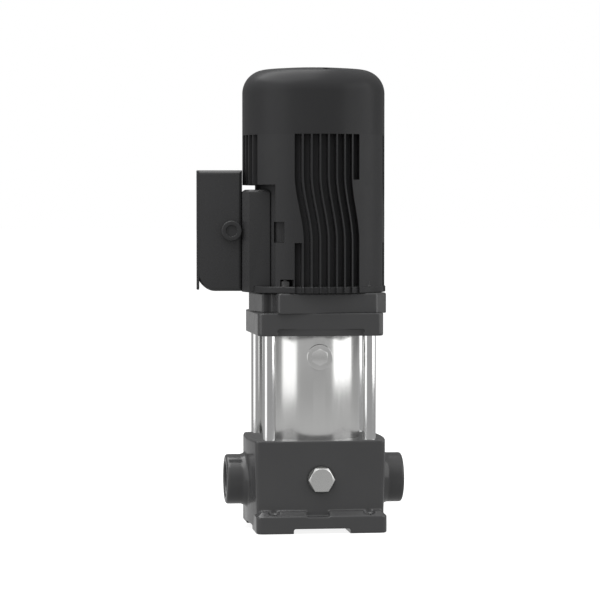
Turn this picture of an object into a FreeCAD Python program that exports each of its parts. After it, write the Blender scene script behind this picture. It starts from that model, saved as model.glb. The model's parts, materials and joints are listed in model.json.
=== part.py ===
import FreeCAD, Part
import math
import os

# Vertical multistage inline pump. Millimetres, origin on the shaft axis at the underside of the
# foot, +Z up along the shaft, ports on -X (suction) and +X (discharge), plugs on the -Y front.

# Base casting
foot_half_x = 74.0
foot_half_y = 80.5
foot_height = 19.0
foot_corner = 8.0
foot_slope = 7.0
arch_half_width = 32.0
arch_height = 5.5
arch_corner = 4.0
base_corner_x = 73.0
base_corner_y = 65.5
base_bulge_x = 80.5
base_bulge_y = 69.5
base_corner = 6.0
base_top = 103.4
plug_recess_width = 26.0

# Holes that bolt the foot down
bolt_x = 54.0
bolt_y = 73.5
bolt_hole_radius = 4.5
spotface_radius = 6.5
spotface_height = 18.0

# Ports and the chambers behind them
port_height = 55.0
port_face = 102.0
port_radius = 28.5
port_rim = 3.0
port_root = 3.5
port_bore = 19.5
port_bore_depth = 22.0
port_chamfer = 1.5
duct_radius = 15.0
chamber_radius = 22.0
chamber_bottom = 38.0
channel_bottom = 76.0
channel_duct_radius = 12.0

# Jacket, its seals and the tie rods
jacket_radius = 53.0
jacket_wall = 1.5
jacket_depth = 6.0
seal_height = 1.4
rod_x = 58.7
rod_y = 54.5
rod_radius = 7.0
rod_head_depth = 11.0
rod_end_radius = 5.0
rod_pocket_top = 32.0
nut_height = 14.0
nut_radius = 7.8
rod_pocket_radius = nut_radius + 0.8
washer_height = 2.0
socket_flats = 8.0

# Stages
stage_count = 4
stage_pitch = 26.0
casing_radius = 44.0
sheet = 1.5
channel_inner = casing_radius + 1.0
channel_outer = jacket_radius - 4.0
eye_radius = 15.0
neck_radius = 14.4
impeller_radius = 34.0
impeller_width = 6.0
impeller_lift = 3.0
impeller_blades = 6
shroud = 1.2
diffuser_lift = 13.0
diffuser_radius = 38.5
diffuser_vanes = 8
vane_thickness = 1.6
vane_offset = 24.0
vane_bend = 27.0
blade_offset = 17.0
blade_bend = 20.0
hub_radius = 9.0
outlet_windows = 6
outlet_rim = 2.5

# Head
head_half = 71.3
head_corner = 8.0
head_room = 14.0
head_bottom = base_top + stage_count * stage_pitch + head_room
head_top = head_bottom + 25.8
collar_radius = 67.0
collar_height = 9.0
collar_half_width = 49.5
seal_bore = 17.0
seat_height = 7.0
seat_shoulder = 2.2
throat_radius = 13.0

# Shafts and shaft seal
pump_shaft_radius = 7.0
pump_shaft_bottom = 83.0
shaft_nut_flats = 20.0
shaft_nut_height = 7.0
bush_wall = 3.0
bush_height = 10.0
spider_wall = 2.5
spider_spokes = 3
seal_ring_height = 7.0
seal_ring_radius = 13.5
collar_length = 6.0
coupling_depth = 35.0
motor_shaft_bottom = head_top + 1.8
pin_radius = 2.0
pin_height = motor_shaft_bottom + 6.0

# Motor: everything on it is turned about the shaft by this angle
motor_turn = 6.2
flange_half = 70.0
flange_flat = 56.5
flange_side = 71.5
flange_lug_reach = 68.3
flange_lug = 38.0
flange_corner = 2.0
flange_thickness = 22.4
frame_bottom = head_top + flange_thickness
core_radius = 67.0
frame_bore = core_radius - 5.0
frame_radius = core_radius + 14.5
rim_radius = frame_radius + 1.5
rim_height = 7.4
frame_top = frame_bottom + 178.4
spigot_height = 5.4
spigot_wall = 4.0
flange_bolt_x = flange_flat - 10.0
flange_bolt_y = flange_half - 9.5
flange_bolt_radius = 3.0
flange_bolt_flats = 10.0
flange_bolt_head = 6.0
flange_bolt_depth = 8.2
bolt_pocket_radius = 7.5
bolt_pocket_height = 12.0
stud_end = 1.5

# Cooling fins: channels between thin fins, waved sideways by one pitch
fin_pitch = 9.4
fin_thickness = 1.6
channel_count = 8
wave_top = frame_top - 45.0
wave_bottom = wave_top - 76.0
short_top_end = wave_top - 6.0
short_bottom_end = wave_bottom - 1.0

# Motor inside
stator_bottom = frame_bottom + 35.4
stator_top = stator_bottom + 100.0
stator_bore = 36.0
winding_length = 20.0
winding_inner = 38.0
winding_outer = 57.0
air_gap = 0.5
rotor_shaft_radius = 14.0
shaft_shoulder = 13.0
bearing_bore = 10.0
bearing_radius = 23.5
bearing_width = 14.0
ring_wall = 3.2
ball_radius = 3.9
ball_count = 7
bearing_shoulder = 3.0
lower_bearing = frame_bottom - 7.6
upper_bearing = frame_top - 12.0
bearing_boss = 5.5
shield_thickness = 8.0
shield_radius = frame_radius - 3.0
shield_spigot = 8.0
wave_washer_height = 1.5
shield_lip = 2.0
shield_screw_circle = core_radius + 6.0
shield_screw_angle = 45.0
screw_radius = 2.5
screw_depth = 16.0
screw_head_radius = 4.2
screw_head_height = 4.0

# Fan and its cowl
cowl_top = frame_top + 77.5
cowl_wall = 2.0
cowl_corner = 27.0
cowl_crown = 2.5
cowl_flat = 15.0
cowl_screw_circle = 60.5
cowl_post_radius = 5.0
grille_slots = 24
grille_inner = 20.0
grille_outer = 50.0
grille_slot_width = 3.2
shaft_end_radius = 9.0
shaft_top = frame_top + 48.0
fan_bottom = frame_top + 22.0
fan_height = 22.0
fan_radius = 50.0
fan_hub_radius = 16.0
fan_disc = 3.0
fan_blade = 2.5
fan_blades = 7
clip_height = 1.5
clip_wall = 3.0

# Terminal box: on -X, square to the ports but for this small turn
box_turn = -5.0
recess_edge = -45.4
recess_half = frame_radius
adapter_inner = recess_edge - 5.6
adapter_face = -frame_radius - 0.6
adapter_half = 46.0
adapter_bottom = frame_bottom + 1.4
adapter_top = adapter_bottom + 115.0
side_fin_bottom = adapter_top + 5.5
box_face = adapter_face - 48.8
box_half = 35.0
box_bottom = adapter_bottom
box_top = box_bottom + 137.0
box_wall = 3.5
box_edge = 4.5
box_sweep_width = 24.0
box_sweep_height = 40.0
box_top_corner = 6.0
cover_thickness = 3.0
cover_bottom = box_bottom + 1.6
cover_lip = 1.0
cover_screw_y = box_half - 8.0
cover_screw_low = box_bottom + 51.0
cover_screw_high = box_top - 12.0
cover_screw_radius = 2.0
cover_screw_length = 14.0
gland_x = adapter_face - 11.9
gland_z = box_bottom + 68.4
notch_edge = recess_edge + 7.4
notch_bottom = gland_z - 13.4
notch_top = gland_z + 10.2
gland_radius = 11.6
gland_height = 6.0
gland_thread = 8.0
gland_mouth = 6.5
gland_mouth_depth = 3.0
gland_seal_bore = 4.5
gland_reach = 2.5
wire_hole = 9.5
board_half_y = 26.0
board_bottom = box_bottom + 74.0
board_top = board_bottom + 40.0
board_thickness = 10.0
stud_radius = 2.5
stud_length = 22.0
stud_pitch_y = 15.0
stud_pitch_z = 18.0

# Drain plug in the base and vent plug in the jacket, both on the front
drain_height = 60.0
drain_thread = 10.3
drain_thread_length = 13.0
drain_flats = 26.0
drain_head = 6.5
drain_face = base_bulge_y - 0.9
drain_washer_radius = 14.5
spotface_margin = 2.0
drain_passage = 7.0
vent_height = head_bottom - 24.4
vent_thread = 6.5
vent_flats = 17.0
vent_flange_radius = 14.7
vent_flange = 3.0
vent_head = 2.5
vent_boss_radius = 11.0
vent_boss_face = jacket_radius + 1.4
vent_boss_inner = jacket_radius - 7.0
plug_washer = 1.5

# Clearances
slip = 0.1
running = 0.05
rod_clearance = 0.3
face_gap = 0.3

ORIGIN = FreeCAD.Vector(0, 0, 0)
UP = FreeCAD.Vector(0, 0, 1)
FRONT = FreeCAD.Vector(0, -1, 0)


def rod(radius, low, high, x=0.0, y=0.0):
    return Part.makeCylinder(radius, high - low, FreeCAD.Vector(x, y, low), UP)


def ring(outer, inner, low, high):
    return rod(outer, low, high).cut(rod(inner, low - 1, high + 1))


def block(x_low, x_high, y_low, y_high, low, high):
    corner = FreeCAD.Vector(x_low, y_low, low)
    return Part.makeBox(x_high - x_low, y_high - y_low, high - low, corner)


def spun(profile):
    points = [FreeCAD.Vector(radius, 0, height) for radius, height in profile]
    face = Part.Face(Part.makePolygon(points + points[:1]))
    return face.revolve(ORIGIN, UP, 360)


def prism(points, low, high):
    corners = [FreeCAD.Vector(x, y, low) for x, y in points]
    face = Part.Face(Part.makePolygon(corners + corners[:1]))
    return face.extrude(FreeCAD.Vector(0, 0, high - low))


def hexagon(across_flats, low, high):
    radius = across_flats / 2 / math.cos(math.radians(30))
    angles = [math.radians(60 * side) for side in range(6)]
    return prism([(radius * math.cos(a), radius * math.sin(a)) for a in angles], low, high)


def upright_edges(shape):
    return [e for e in shape.Edges if abs(e.tangentAt(e.FirstParameter).z) > 0.999 and
            abs(e.BoundBox.XLength) + abs(e.BoundBox.YLength) < 0.001]


def level_edges(shape, height):
    return [e for e in shape.Edges if abs(e.BoundBox.ZMin - height) + abs(e.BoundBox.ZMax - height) < 0.001]


def round_block(half_x, half_y, corner, low, high):
    solid = block(-half_x, half_x, -half_y, half_y, low, high)
    return solid.makeFillet(corner, upright_edges(solid))


def turned(shape, angle):
    copy = shape.copy()
    copy.rotate(ORIGIN, UP, angle)
    return copy


def around(shape, count, start=0.0):
    return [turned(shape, start + 360.0 / count * step) for step in range(count)]


def quarters(x, y):
    return [(x, y), (-x, y), (-x, -y), (x, -y)]


def facing(shape, axis, x=0.0, y=0.0, z=0.0):
    copy = shape.copy()
    turn = FreeCAD.Placement(FreeCAD.Vector(x, y, z), FreeCAD.Rotation(UP, axis))
    copy.Placement = turn.multiply(copy.Placement)
    return copy


def one_solid(shape):
    clean = shape.removeSplitter()
    return clean.Solids[0] if len(clean.Solids) == 1 else clean


# Base


def base_body():
    corners = quarters(base_corner_x, base_corner_y)
    middles = [(0, base_bulge_y), (-base_bulge_x, 0), (0, -base_bulge_y), (base_bulge_x, 0)]
    sides = []
    for index, middle in enumerate(middles):
        ends = corners[index], corners[(index + 1) % 4]
        start, bulge, end = [FreeCAD.Vector(x, y, arch_height) for x, y in (ends[0], middle, ends[1])]
        sides.append(Part.Arc(start, bulge, end).toShape())
    body = Part.Face(Part.Wire(sides)).extrude(FreeCAD.Vector(0, 0, base_top - arch_height))
    return body.makeFillet(base_corner, upright_edges(body))


def foot():
    plate = round_block(foot_half_x, foot_half_y, foot_corner, 0, foot_height + foot_slope)
    plate = plate.makeChamfer(foot_slope, level_edges(plate, foot_height + foot_slope))
    reach = foot_half_x + foot_half_y
    for half_x, half_y in ((arch_half_width, reach), (reach, arch_half_width)):
        arch = block(-half_x, half_x, -half_y, half_y, -arch_height, arch_height)
        long_edges = [e for e in level_edges(arch, arch_height) if e.Length > reach]
        plate = plate.cut(arch.makeFillet(arch_corner, long_edges))
    seats = [rod(spotface_radius, spotface_height, foot_height + 2 * foot_slope, x, y)
             for x, y in quarters(bolt_x, bolt_y)]
    return plate.cut(seats)


def port_bosses():
    rim = rod(port_radius, 0, port_face)
    rim = rim.makeFillet(port_rim, level_edges(rim, port_face))
    root = Part.makeCone(port_radius + port_root, port_radius, 2 * port_root)
    root.translate(FreeCAD.Vector(0, 0, base_bulge_x - port_root))
    boss = rim.fuse(root)
    sides = (FreeCAD.Vector(-1, 0, 0), FreeCAD.Vector(1, 0, 0))
    return [facing(boss, side, z=port_height) for side in sides]


def port_bores():
    bore = rod(port_bore, port_face - port_bore_depth, port_face + 1)
    mouth = Part.makeCone(port_bore, port_bore + port_chamfer, port_chamfer)
    mouth.translate(FreeCAD.Vector(0, 0, port_face - port_chamfer))
    duct = rod(duct_radius, channel_inner - channel_duct_radius / 2, port_face - 1)
    cut = bore.fuse([mouth, duct])
    suction = facing(cut.fuse(rod(duct_radius, 0, port_face - 1)), FreeCAD.Vector(-1, 0, 0), z=port_height)
    discharge = facing(cut, FreeCAD.Vector(1, 0, 0), z=port_height)
    return [suction, discharge]


def base_chambers():
    inlet = rod(chamber_radius, chamber_bottom, base_top + 1)
    channel = ring(channel_outer, channel_inner, channel_bottom, base_top + 1)
    riser = rod(channel_duct_radius, port_height, channel_bottom + 1, channel_inner)
    seat = ring(jacket_radius + slip, jacket_radius - jacket_wall - slip,
                base_top - jacket_depth - seal_height, base_top + 1)
    return [inlet, channel, riser, seat]


def foot_holes():
    cuts = []
    for x, y in quarters(bolt_x, bolt_y):
        cuts.append(rod(bolt_hole_radius, -1, foot_height + foot_slope, x, y))
    for x, y in quarters(rod_x, rod_y):
        cuts.append(rod(rod_pocket_radius, -1, rod_pocket_top, x, y))
        cuts.append(rod(rod_radius + rod_clearance, rod_pocket_top - 1, base_top + 1, x, y))
    half = plug_recess_width / 2
    cuts.append(block(-half, half, -foot_half_y - 1, -base_bulge_y, spotface_height, foot_height + foot_slope))
    return cuts


def drain_hole():
    thread = rod(drain_thread + slip, drain_face - drain_thread_length - 2, drain_face + 1)
    passage = rod(drain_passage, 0, drain_face - drain_thread_length)
    face = rod(drain_washer_radius + spotface_margin, drain_face, base_bulge_y + 1)
    return facing(thread.fuse([passage, face]), FRONT, z=drain_height)


def base_casting():
    body = base_body().fuse([foot()] + port_bosses())
    return one_solid(body.cut(port_bores() + base_chambers() + foot_holes() + [drain_hole()]))


# Jacket and tie rods


def jacket_shell():
    low = base_top - jacket_depth
    high = head_bottom + jacket_depth
    tube = ring(jacket_radius, jacket_radius - jacket_wall, low, high)
    return tube.cut(facing(rod(vent_thread + slip, 0, jacket_radius + 1), FRONT, z=vent_height))


def jacket_seals():
    low = base_top - jacket_depth - seal_height
    high = head_bottom + jacket_depth
    inner = jacket_radius - jacket_wall
    return [ring(jacket_radius, inner, z, z + seal_height) for z in (low, high)]


def tie_rods():
    high = head_bottom + rod_head_depth
    nut_bottom = rod_pocket_top - washer_height - nut_height
    rods = []
    for x, y in quarters(rod_x, rod_y):
        bar = rod(rod_radius, rod_pocket_top, high, x, y)
        rods.append(bar.fuse(rod(rod_end_radius, nut_bottom + nut_height / 3, rod_pocket_top, x, y)))
    return rods


def tie_rod_washers():
    low = rod_pocket_top - washer_height
    washer = ring(rod_pocket_radius - slip, rod_end_radius + running, low, rod_pocket_top)
    return [washer.translated(FreeCAD.Vector(x, y, 0)) for x, y in quarters(rod_x, rod_y)]


def tie_rod_nuts():
    high = rod_pocket_top - washer_height
    low = high - nut_height
    nut = rod(nut_radius, low, high).cut(rod(rod_end_radius + running, low + nut_height / 3, high + 1))
    nut = nut.cut(hexagon(socket_flats, low - 1, low + nut_height / 3))
    return [nut.translated(FreeCAD.Vector(x, y, 0)) for x, y in quarters(rod_x, rod_y)]


# Stages


def curved_vane(inner, outer, offset, bend, low, high):
    band = ring(bend + vane_thickness / 2, bend - vane_thickness / 2, low, high)
    band.translate(FreeCAD.Vector(offset, 0, 0))
    return max(band.common(ring(outer, inner, low, high)).Solids, key=lambda vane: vane.CenterOfMass.y)


def stage_bottom(index):
    return base_top + index * stage_pitch


def stage_casing(index):
    low = stage_bottom(index)
    high = low + stage_pitch
    inner = casing_radius - sheet
    profile = [(eye_radius, low), (casing_radius, low), (casing_radius, high), (inner, high),
               (inner, low + sheet), (eye_radius, low + sheet)]
    return spun(profile)


def diffuser(index):
    low = stage_bottom(index) + diffuser_lift
    high = stage_bottom(index + 1)
    disc = ring(diffuser_radius, hub_radius + face_gap, low, low + sheet)
    reach = casing_radius - sheet - running
    vane = curved_vane(eye_radius + sheet, reach, -vane_offset, vane_bend, low + sheet, high)
    return one_solid(disc.fuse(around(vane, diffuser_vanes)))


def impeller(index):
    low = stage_bottom(index) + impeller_lift
    high = low + shroud + impeller_width
    hub_low = stage_bottom(index) + face_gap
    hub = ring(hub_radius, pump_shaft_radius + running, hub_low, hub_low + stage_pitch)
    neck = ring(neck_radius, neck_radius - shroud, stage_bottom(index) + face_gap, low + shroud)
    front = ring(impeller_radius, neck_radius - shroud, low, low + shroud)
    back = ring(impeller_radius, hub_radius - shroud, high, high + shroud)
    blade = curved_vane(neck_radius - shroud, impeller_radius, blade_offset, blade_bend, low, high)
    return one_solid(hub.fuse([neck, front, back] + around(blade, impeller_blades)))


def discharge_ring():
    low = stage_bottom(stage_count)
    inner = casing_radius - sheet
    profile = [(inner - 3 * sheet, low), (casing_radius, low), (casing_radius, head_bottom),
               (inner, head_bottom), (inner, low + sheet), (inner - 3 * sheet, low + sheet)]
    window = block(casing_radius / 2, casing_radius + 1, -casing_radius / 6, casing_radius / 6,
                   low + sheet + outlet_rim, head_bottom - outlet_rim)
    return spun(profile).cut(around(window, outlet_windows))


def inlet_spider():
    high = base_top
    low = high - bush_height
    hub = hub_radius + running + bush_wall + running
    rim = ring(chamber_radius - slip, chamber_radius - spider_wall, low, high)
    boss = ring(hub + spider_wall, hub, low, high)
    spoke = block(hub + spider_wall / 2, chamber_radius - spider_wall / 2, -spider_wall / 2,
                  spider_wall / 2, low, high)
    return one_solid(rim.fuse([boss] + around(spoke, spider_spokes)))


def bearing_bush():
    bore = hub_radius + running
    return ring(bore + bush_wall, bore, base_top - bush_height, base_top)


# Head


def pump_head():
    body = round_block(head_half, head_half, head_corner, head_bottom, head_top)
    gap = block(-collar_half_width, collar_half_width, -head_half - 1, head_half + 1,
                head_bottom - 1, head_bottom + collar_height)
    sides = gap.cut(rod(collar_radius, head_bottom - 2, head_top))
    groove = ring(jacket_radius + slip, jacket_radius - jacket_wall - slip, head_bottom - 1,
                  head_bottom + jacket_depth + seal_height)
    bore = rod(seal_bore, head_bottom - 1, head_top - seat_shoulder)
    throat = rod(throat_radius, head_bottom, head_top + 1)
    cuts = [sides, groove, bore, throat]
    for x, y in quarters(rod_x, rod_y):
        cuts.append(rod(rod_radius + running, head_bottom - 1, head_bottom + rod_head_depth, x, y))
    for x, y in quarters(flange_bolt_x, flange_bolt_y):
        hole = rod(flange_bolt_radius + running, head_top - flange_bolt_depth, head_top + 1, x, y)
        cuts.append(turned(hole, motor_turn))
    return one_solid(body.cut(cuts))


def seal_seat():
    high = head_top - seat_shoulder
    return ring(seal_bore - running, pump_shaft_radius + 1, high - seat_height, high)


def rotating_seal():
    high = head_top - seat_shoulder - seat_height - running
    low = high - seal_ring_height
    bore = pump_shaft_radius + running
    face = ring(seal_ring_radius - 2, bore, high - 2, high)
    return one_solid(face.fuse(ring(seal_ring_radius, bore, low, high - 2)))


# Shafts


def pump_shaft():
    return rod(pump_shaft_radius, pump_shaft_bottom, motor_shaft_bottom + coupling_depth).cut(pin_hole())


def pin_hole():
    return facing(rod(pin_radius + running, -2 * bearing_bore, 2 * bearing_bore), FRONT, z=pin_height)


def coupling_pin():
    return facing(rod(pin_radius, -bearing_bore, bearing_bore), FRONT, z=pin_height)


def shaft_sleeves():
    journal_high = stage_bottom(0) + face_gap
    journal_low = pump_shaft_bottom + 1 + shaft_nut_height
    bore = pump_shaft_radius + running
    journal = ring(hub_radius, bore, journal_low, journal_high)
    stop = stage_bottom(stage_count) + face_gap
    return [journal, ring(hub_radius + 1, bore, stop, stop + collar_length)]


def shaft_nut():
    low = pump_shaft_bottom + 1
    nut = hexagon(shaft_nut_flats, low, low + shaft_nut_height)
    return nut.cut(rod(pump_shaft_radius + running, low - 1, low + shaft_nut_height + 1))


def motor_shaft():
    lower_top = lower_bearing + bearing_width
    profile = [(0, motor_shaft_bottom), (bearing_bore, motor_shaft_bottom), (bearing_bore, lower_top),
               (shaft_shoulder, lower_top), (shaft_shoulder, stator_bottom),
               (rotor_shaft_radius, stator_bottom), (rotor_shaft_radius, stator_top),
               (shaft_shoulder, stator_top), (shaft_shoulder, upper_bearing),
               (bearing_bore, upper_bearing), (bearing_bore, upper_bearing + bearing_width),
               (shaft_end_radius, upper_bearing + bearing_width), (shaft_end_radius, shaft_top),
               (0, shaft_top)]
    socket_top = motor_shaft_bottom + coupling_depth
    bore = rod(pump_shaft_radius + running, motor_shaft_bottom - 1, socket_top)
    return spun(profile).cut([bore, pin_hole()])


# Motor


def flange_outline(low, high):
    half, flat = flange_half, flange_flat
    corners = [(flange_side, -flat), (flange_side, flat), (flat, half), (-flat, half), (-flat, flange_lug),
               (-flange_lug_reach, flange_lug), (-flange_lug_reach, -flange_lug), (-flat, -flange_lug),
               (-flat, -half), (flat, -half)]
    plate = prism(corners, low, high)
    return plate.makeFillet(flange_corner, upright_edges(plate))


def motor_flange():
    plate = flange_outline(head_top, frame_bottom)
    spigot = ring(frame_bore - running, frame_bore - spigot_wall, frame_bottom, frame_bottom + spigot_height)
    boss_top = lower_bearing + bearing_width + shield_lip
    boss = rod(bearing_radius + bearing_boss, head_top, boss_top)
    seat = rod(bearing_radius + running, lower_bearing, boss_top + 1)
    room = rod(bearing_radius - bearing_shoulder, head_top - 1, lower_bearing)
    body = plate.fuse([spigot, boss]).cut([seat, room])
    for x, y in quarters(flange_bolt_x, flange_bolt_y):
        body = body.cut(rod(flange_bolt_radius + running, head_top - 1, frame_bottom + 1, x, y))
    return turned(one_solid(body), motor_turn)


def wave_channel(x_top, shift, low, high):
    half = (fin_pitch - fin_thickness) / 2
    middle = (wave_top + wave_bottom) / 2
    run = (wave_top - wave_bottom) / 4

    def side(x):
        top = FreeCAD.Vector(x, 0, high)
        bend_top = FreeCAD.Vector(x, 0, wave_top)
        centre = FreeCAD.Vector(x + shift / 2, 0, middle)
        bend_low = FreeCAD.Vector(x + shift, 0, wave_bottom)
        bottom = FreeCAD.Vector(x + shift, 0, low)
        upper = FreeCAD.Vector(x + shift / 8, 0, wave_top - run)
        lower = FreeCAD.Vector(x + shift * 7 / 8, 0, wave_bottom + run)
        return [Part.makeLine(top, bend_top), Part.Arc(bend_top, upper, centre).toShape(),
                Part.Arc(centre, lower, bend_low).toShape(), Part.makeLine(bend_low, bottom)]

    left, right = side(x_top - half), side(x_top + half)
    top = Part.makeLine(FreeCAD.Vector(x_top - half, 0, high), FreeCAD.Vector(x_top + half, 0, high))
    bottom = Part.makeLine(FreeCAD.Vector(x_top + shift - half, 0, low),
                           FreeCAD.Vector(x_top + shift + half, 0, low))
    edges = Part.__sortEdges__(left + [bottom] + right + [top])
    return Part.Face(Part.Wire(edges)).extrude(FreeCAD.Vector(0, -2 * frame_radius, 0))


def channel_cut(x, low, high):
    half = (fin_pitch - fin_thickness) / 2
    return block(x - half, x + half, -2 * frame_radius, 0, low, high)


def waved_group():
    low = frame_bottom + rim_height
    first = -fin_pitch * (channel_count - 1) / 2
    places = [first + fin_pitch * step for step in range(channel_count)]
    cuts = [wave_channel(x, fin_pitch, low, frame_top + 1) for x in places]
    cuts.append(channel_cut(places[-1] + fin_pitch, short_top_end, frame_top + 1))
    cuts.append(channel_cut(places[0], low, short_bottom_end))
    return cuts


def straight_group():
    first = -fin_pitch * (channel_count - 1) / 2
    places = [first + fin_pitch * step for step in range(channel_count)]
    return [channel_cut(x, side_fin_bottom - 1, frame_top + 1) for x in places]


def terminal_recess():
    low = frame_bottom + rim_height
    recess = block(-2 * frame_radius, recess_edge, -recess_half, recess_half, low, side_fin_bottom)
    notch = block(recess_edge - 1, notch_edge, -2 * frame_radius, 0, notch_bottom, notch_top)
    return turned(recess.fuse(notch), box_turn)


def bolt_pockets():
    low = frame_bottom + rim_height
    places = quarters(flange_bolt_x, flange_bolt_y)
    return [rod(bolt_pocket_radius, low, low + bolt_pocket_height, x, y) for x, y in places]


def motor_frame():
    low = frame_bottom + rim_height
    shell = ring(frame_radius, core_radius, low, frame_top)
    waved = waved_group()
    sides = [turned(cut, angle) for angle in (0, 90, 180) for cut in waved]
    sides += [turned(cut, -90) for cut in straight_group()]
    sides += bolt_pockets()
    tapped = rod(screw_radius + running, frame_top - screw_depth - 1, frame_top + 1, shield_screw_circle)
    sides += around(tapped, 4, shield_screw_angle)
    shell = turned(shell.cut(sides), motor_turn).cut(terminal_recess())
    rim = ring(rim_radius, frame_bore, frame_bottom, low)
    for x, y in quarters(flange_bolt_x, flange_bolt_y):
        hole = rod(flange_bolt_radius + running, frame_bottom - 1, low + 1, x, y)
        rim = rim.cut(turned(hole, motor_turn))
    core = ring(core_radius, frame_bore, low, frame_top)
    cable_hole = facing(rod(wire_hole, 0, 2 * core_radius), FreeCAD.Vector(-1, 0, 0), z=gland_z)
    return one_solid(core.fuse([shell, rim]).cut(turned(cable_hole, box_turn)))


def flange_bolts():
    seat = frame_bottom + rim_height
    head = hexagon(flange_bolt_flats, seat, seat + flange_bolt_head)
    bolt = head.fuse(rod(flange_bolt_radius, head_top - flange_bolt_depth + 1, seat + flange_bolt_head + stud_end))
    places = quarters(flange_bolt_x, flange_bolt_y)
    return [turned(bolt.translated(FreeCAD.Vector(x, y, 0)), motor_turn) for x, y in places]


def stator_core():
    return ring(frame_bore - running, stator_bore, stator_bottom, stator_top)


def stator_windings():
    ends = ((stator_bottom - winding_length, stator_bottom), (stator_top, stator_top + winding_length))
    coils = []
    for low, high in ends:
        coil = ring(winding_outer, winding_inner, low, high)
        outer_end = low if high == stator_bottom else high
        coils.append(coil.makeChamfer(winding_length / 3, level_edges(coil, outer_end)))
    return coils


def rotor_core():
    return ring(stator_bore - air_gap, rotor_shaft_radius + running, stator_bottom, stator_top)


def bearing_rings(inner):
    if inner:
        outside, inside = bearing_bore + running + ring_wall, bearing_bore + running
    else:
        outside, inside = bearing_radius, bearing_radius - ring_wall
    pitch = (bearing_bore + bearing_radius) / 2
    rings = []
    for low in (lower_bearing, upper_bearing):
        centre = FreeCAD.Vector(0, 0, low + bearing_width / 2)
        groove = Part.makeTorus(pitch, ball_radius + running, centre, UP)
        rings.append(ring(outside, inside, low, low + bearing_width).cut(groove))
    return rings


def bearing_balls():
    balls = []
    pitch = (bearing_bore + bearing_radius) / 2
    for low in (lower_bearing, upper_bearing):
        centre = FreeCAD.Vector(pitch, 0, low + bearing_width / 2)
        balls += around(Part.makeSphere(ball_radius, centre), ball_count)
    return balls


def wave_washer():
    low = upper_bearing + bearing_width
    return ring(bearing_radius - running, bearing_radius - ring_wall, low, low + wave_washer_height)


def upper_end_shield():
    low = upper_bearing - shield_lip
    seat_top = upper_bearing + bearing_width + wave_washer_height
    high = seat_top + shield_lip
    plate = rod(shield_radius, frame_top, frame_top + shield_thickness)
    spigot = ring(frame_bore - running, frame_bore - spigot_wall, frame_top - shield_spigot, frame_top)
    boss = rod(bearing_radius + bearing_boss, low, high)
    seat = rod(bearing_radius + running, low - 1, seat_top)
    throat = rod(shaft_shoulder - 1, low, frame_top + shield_thickness + 1)
    holes = [seat, throat]
    screw = rod(screw_radius + running, frame_top - 1, frame_top + shield_thickness + 1, shield_screw_circle)
    holes += around(screw, 4, shield_screw_angle)
    tapped = rod(screw_radius + running, frame_top, frame_top + shield_thickness + 1, cowl_screw_circle)
    holes += around(tapped, 4)
    return turned(one_solid(plate.fuse([spigot, boss]).cut(holes)), motor_turn)


def cap_screw(seat, depth, x):
    head = rod(screw_head_radius, seat, seat + screw_head_height, x)
    key = hexagon(2 * screw_radius - 1, seat + screw_head_height / 2, seat + screw_head_height + 1)
    shank = rod(screw_radius, seat - depth, seat, x)
    return head.cut(key.translated(FreeCAD.Vector(x, 0, 0))).fuse(shank)


def shield_screws():
    screw = cap_screw(frame_top + shield_thickness, screw_depth + shield_thickness, shield_screw_circle)
    return around(screw, 4, shield_screw_angle + motor_turn)


# Fan and cowl


def cowl_profile(inset):
    radius = frame_radius - inset
    corner = cowl_corner - inset
    shoulder = cowl_top - cowl_crown - inset
    bend = corner * math.sqrt(0.5)
    low = FreeCAD.Vector(radius, 0, frame_top)
    turn = FreeCAD.Vector(radius, 0, shoulder - corner)
    knee = FreeCAD.Vector(radius - corner + bend, 0, shoulder - corner + bend)
    edge = FreeCAD.Vector(radius - corner, 0, shoulder)
    crown = FreeCAD.Vector(cowl_flat - inset, 0, shoulder + cowl_crown)
    middle = FreeCAD.Vector(0, 0, shoulder + cowl_crown)
    foot_point = FreeCAD.Vector(0, 0, frame_top)
    return Part.Wire([Part.makeLine(foot_point, low), Part.makeLine(low, turn),
                      Part.Arc(turn, knee, edge).toShape(), Part.makeLine(edge, crown),
                      Part.makeLine(crown, middle), Part.makeLine(middle, foot_point)])


def cowl_post(radius, high):
    return around(rod(radius, frame_top + shield_thickness, high, cowl_screw_circle), 4)


def fan_cowl():
    outer = Part.Face(cowl_profile(0)).revolve(ORIGIN, UP, 360)
    inner = Part.Face(cowl_profile(cowl_wall)).revolve(ORIGIN, UP, 360)
    seat = cowl_top - cowl_crown - cowl_wall - 2 * screw_head_height
    posts = [post.common(outer) for post in cowl_post(cowl_post_radius, cowl_top)]
    shell = outer.cut(inner).fuse(posts)
    cuts = cowl_post(screw_radius + running, cowl_top + 1)
    cuts += around(rod(screw_head_radius + slip, seat, cowl_top + 1, cowl_screw_circle), 4)
    slot = block(grille_inner, grille_outer, -grille_slot_width / 2, grille_slot_width / 2,
                 cowl_top - cowl_corner, cowl_top + 1)
    cuts += around(slot, grille_slots, 180.0 / grille_slots)
    return turned(one_solid(shell.cut(cuts)), motor_turn)


def cowl_screws():
    seat = cowl_top - cowl_crown - cowl_wall - 2 * screw_head_height
    depth = seat - frame_top - 1
    return around(cap_screw(seat, depth, cowl_screw_circle), 4, motor_turn)


def fan():
    high = fan_bottom + fan_height
    hub = rod(fan_hub_radius, fan_bottom, high)
    disc = rod(fan_radius, fan_bottom, fan_bottom + fan_disc)
    blade = block(fan_hub_radius - 1, fan_radius, -fan_blade / 2, fan_blade / 2, fan_bottom, high)
    body = hub.fuse([disc] + around(blade, fan_blades))
    return one_solid(body.cut(rod(shaft_end_radius + running, fan_bottom - 1, high + 1)))


def fan_clip():
    low = fan_bottom + fan_height
    return ring(shaft_end_radius + clip_wall, shaft_end_radius + running, low, low + clip_height)


# Terminal box


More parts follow.
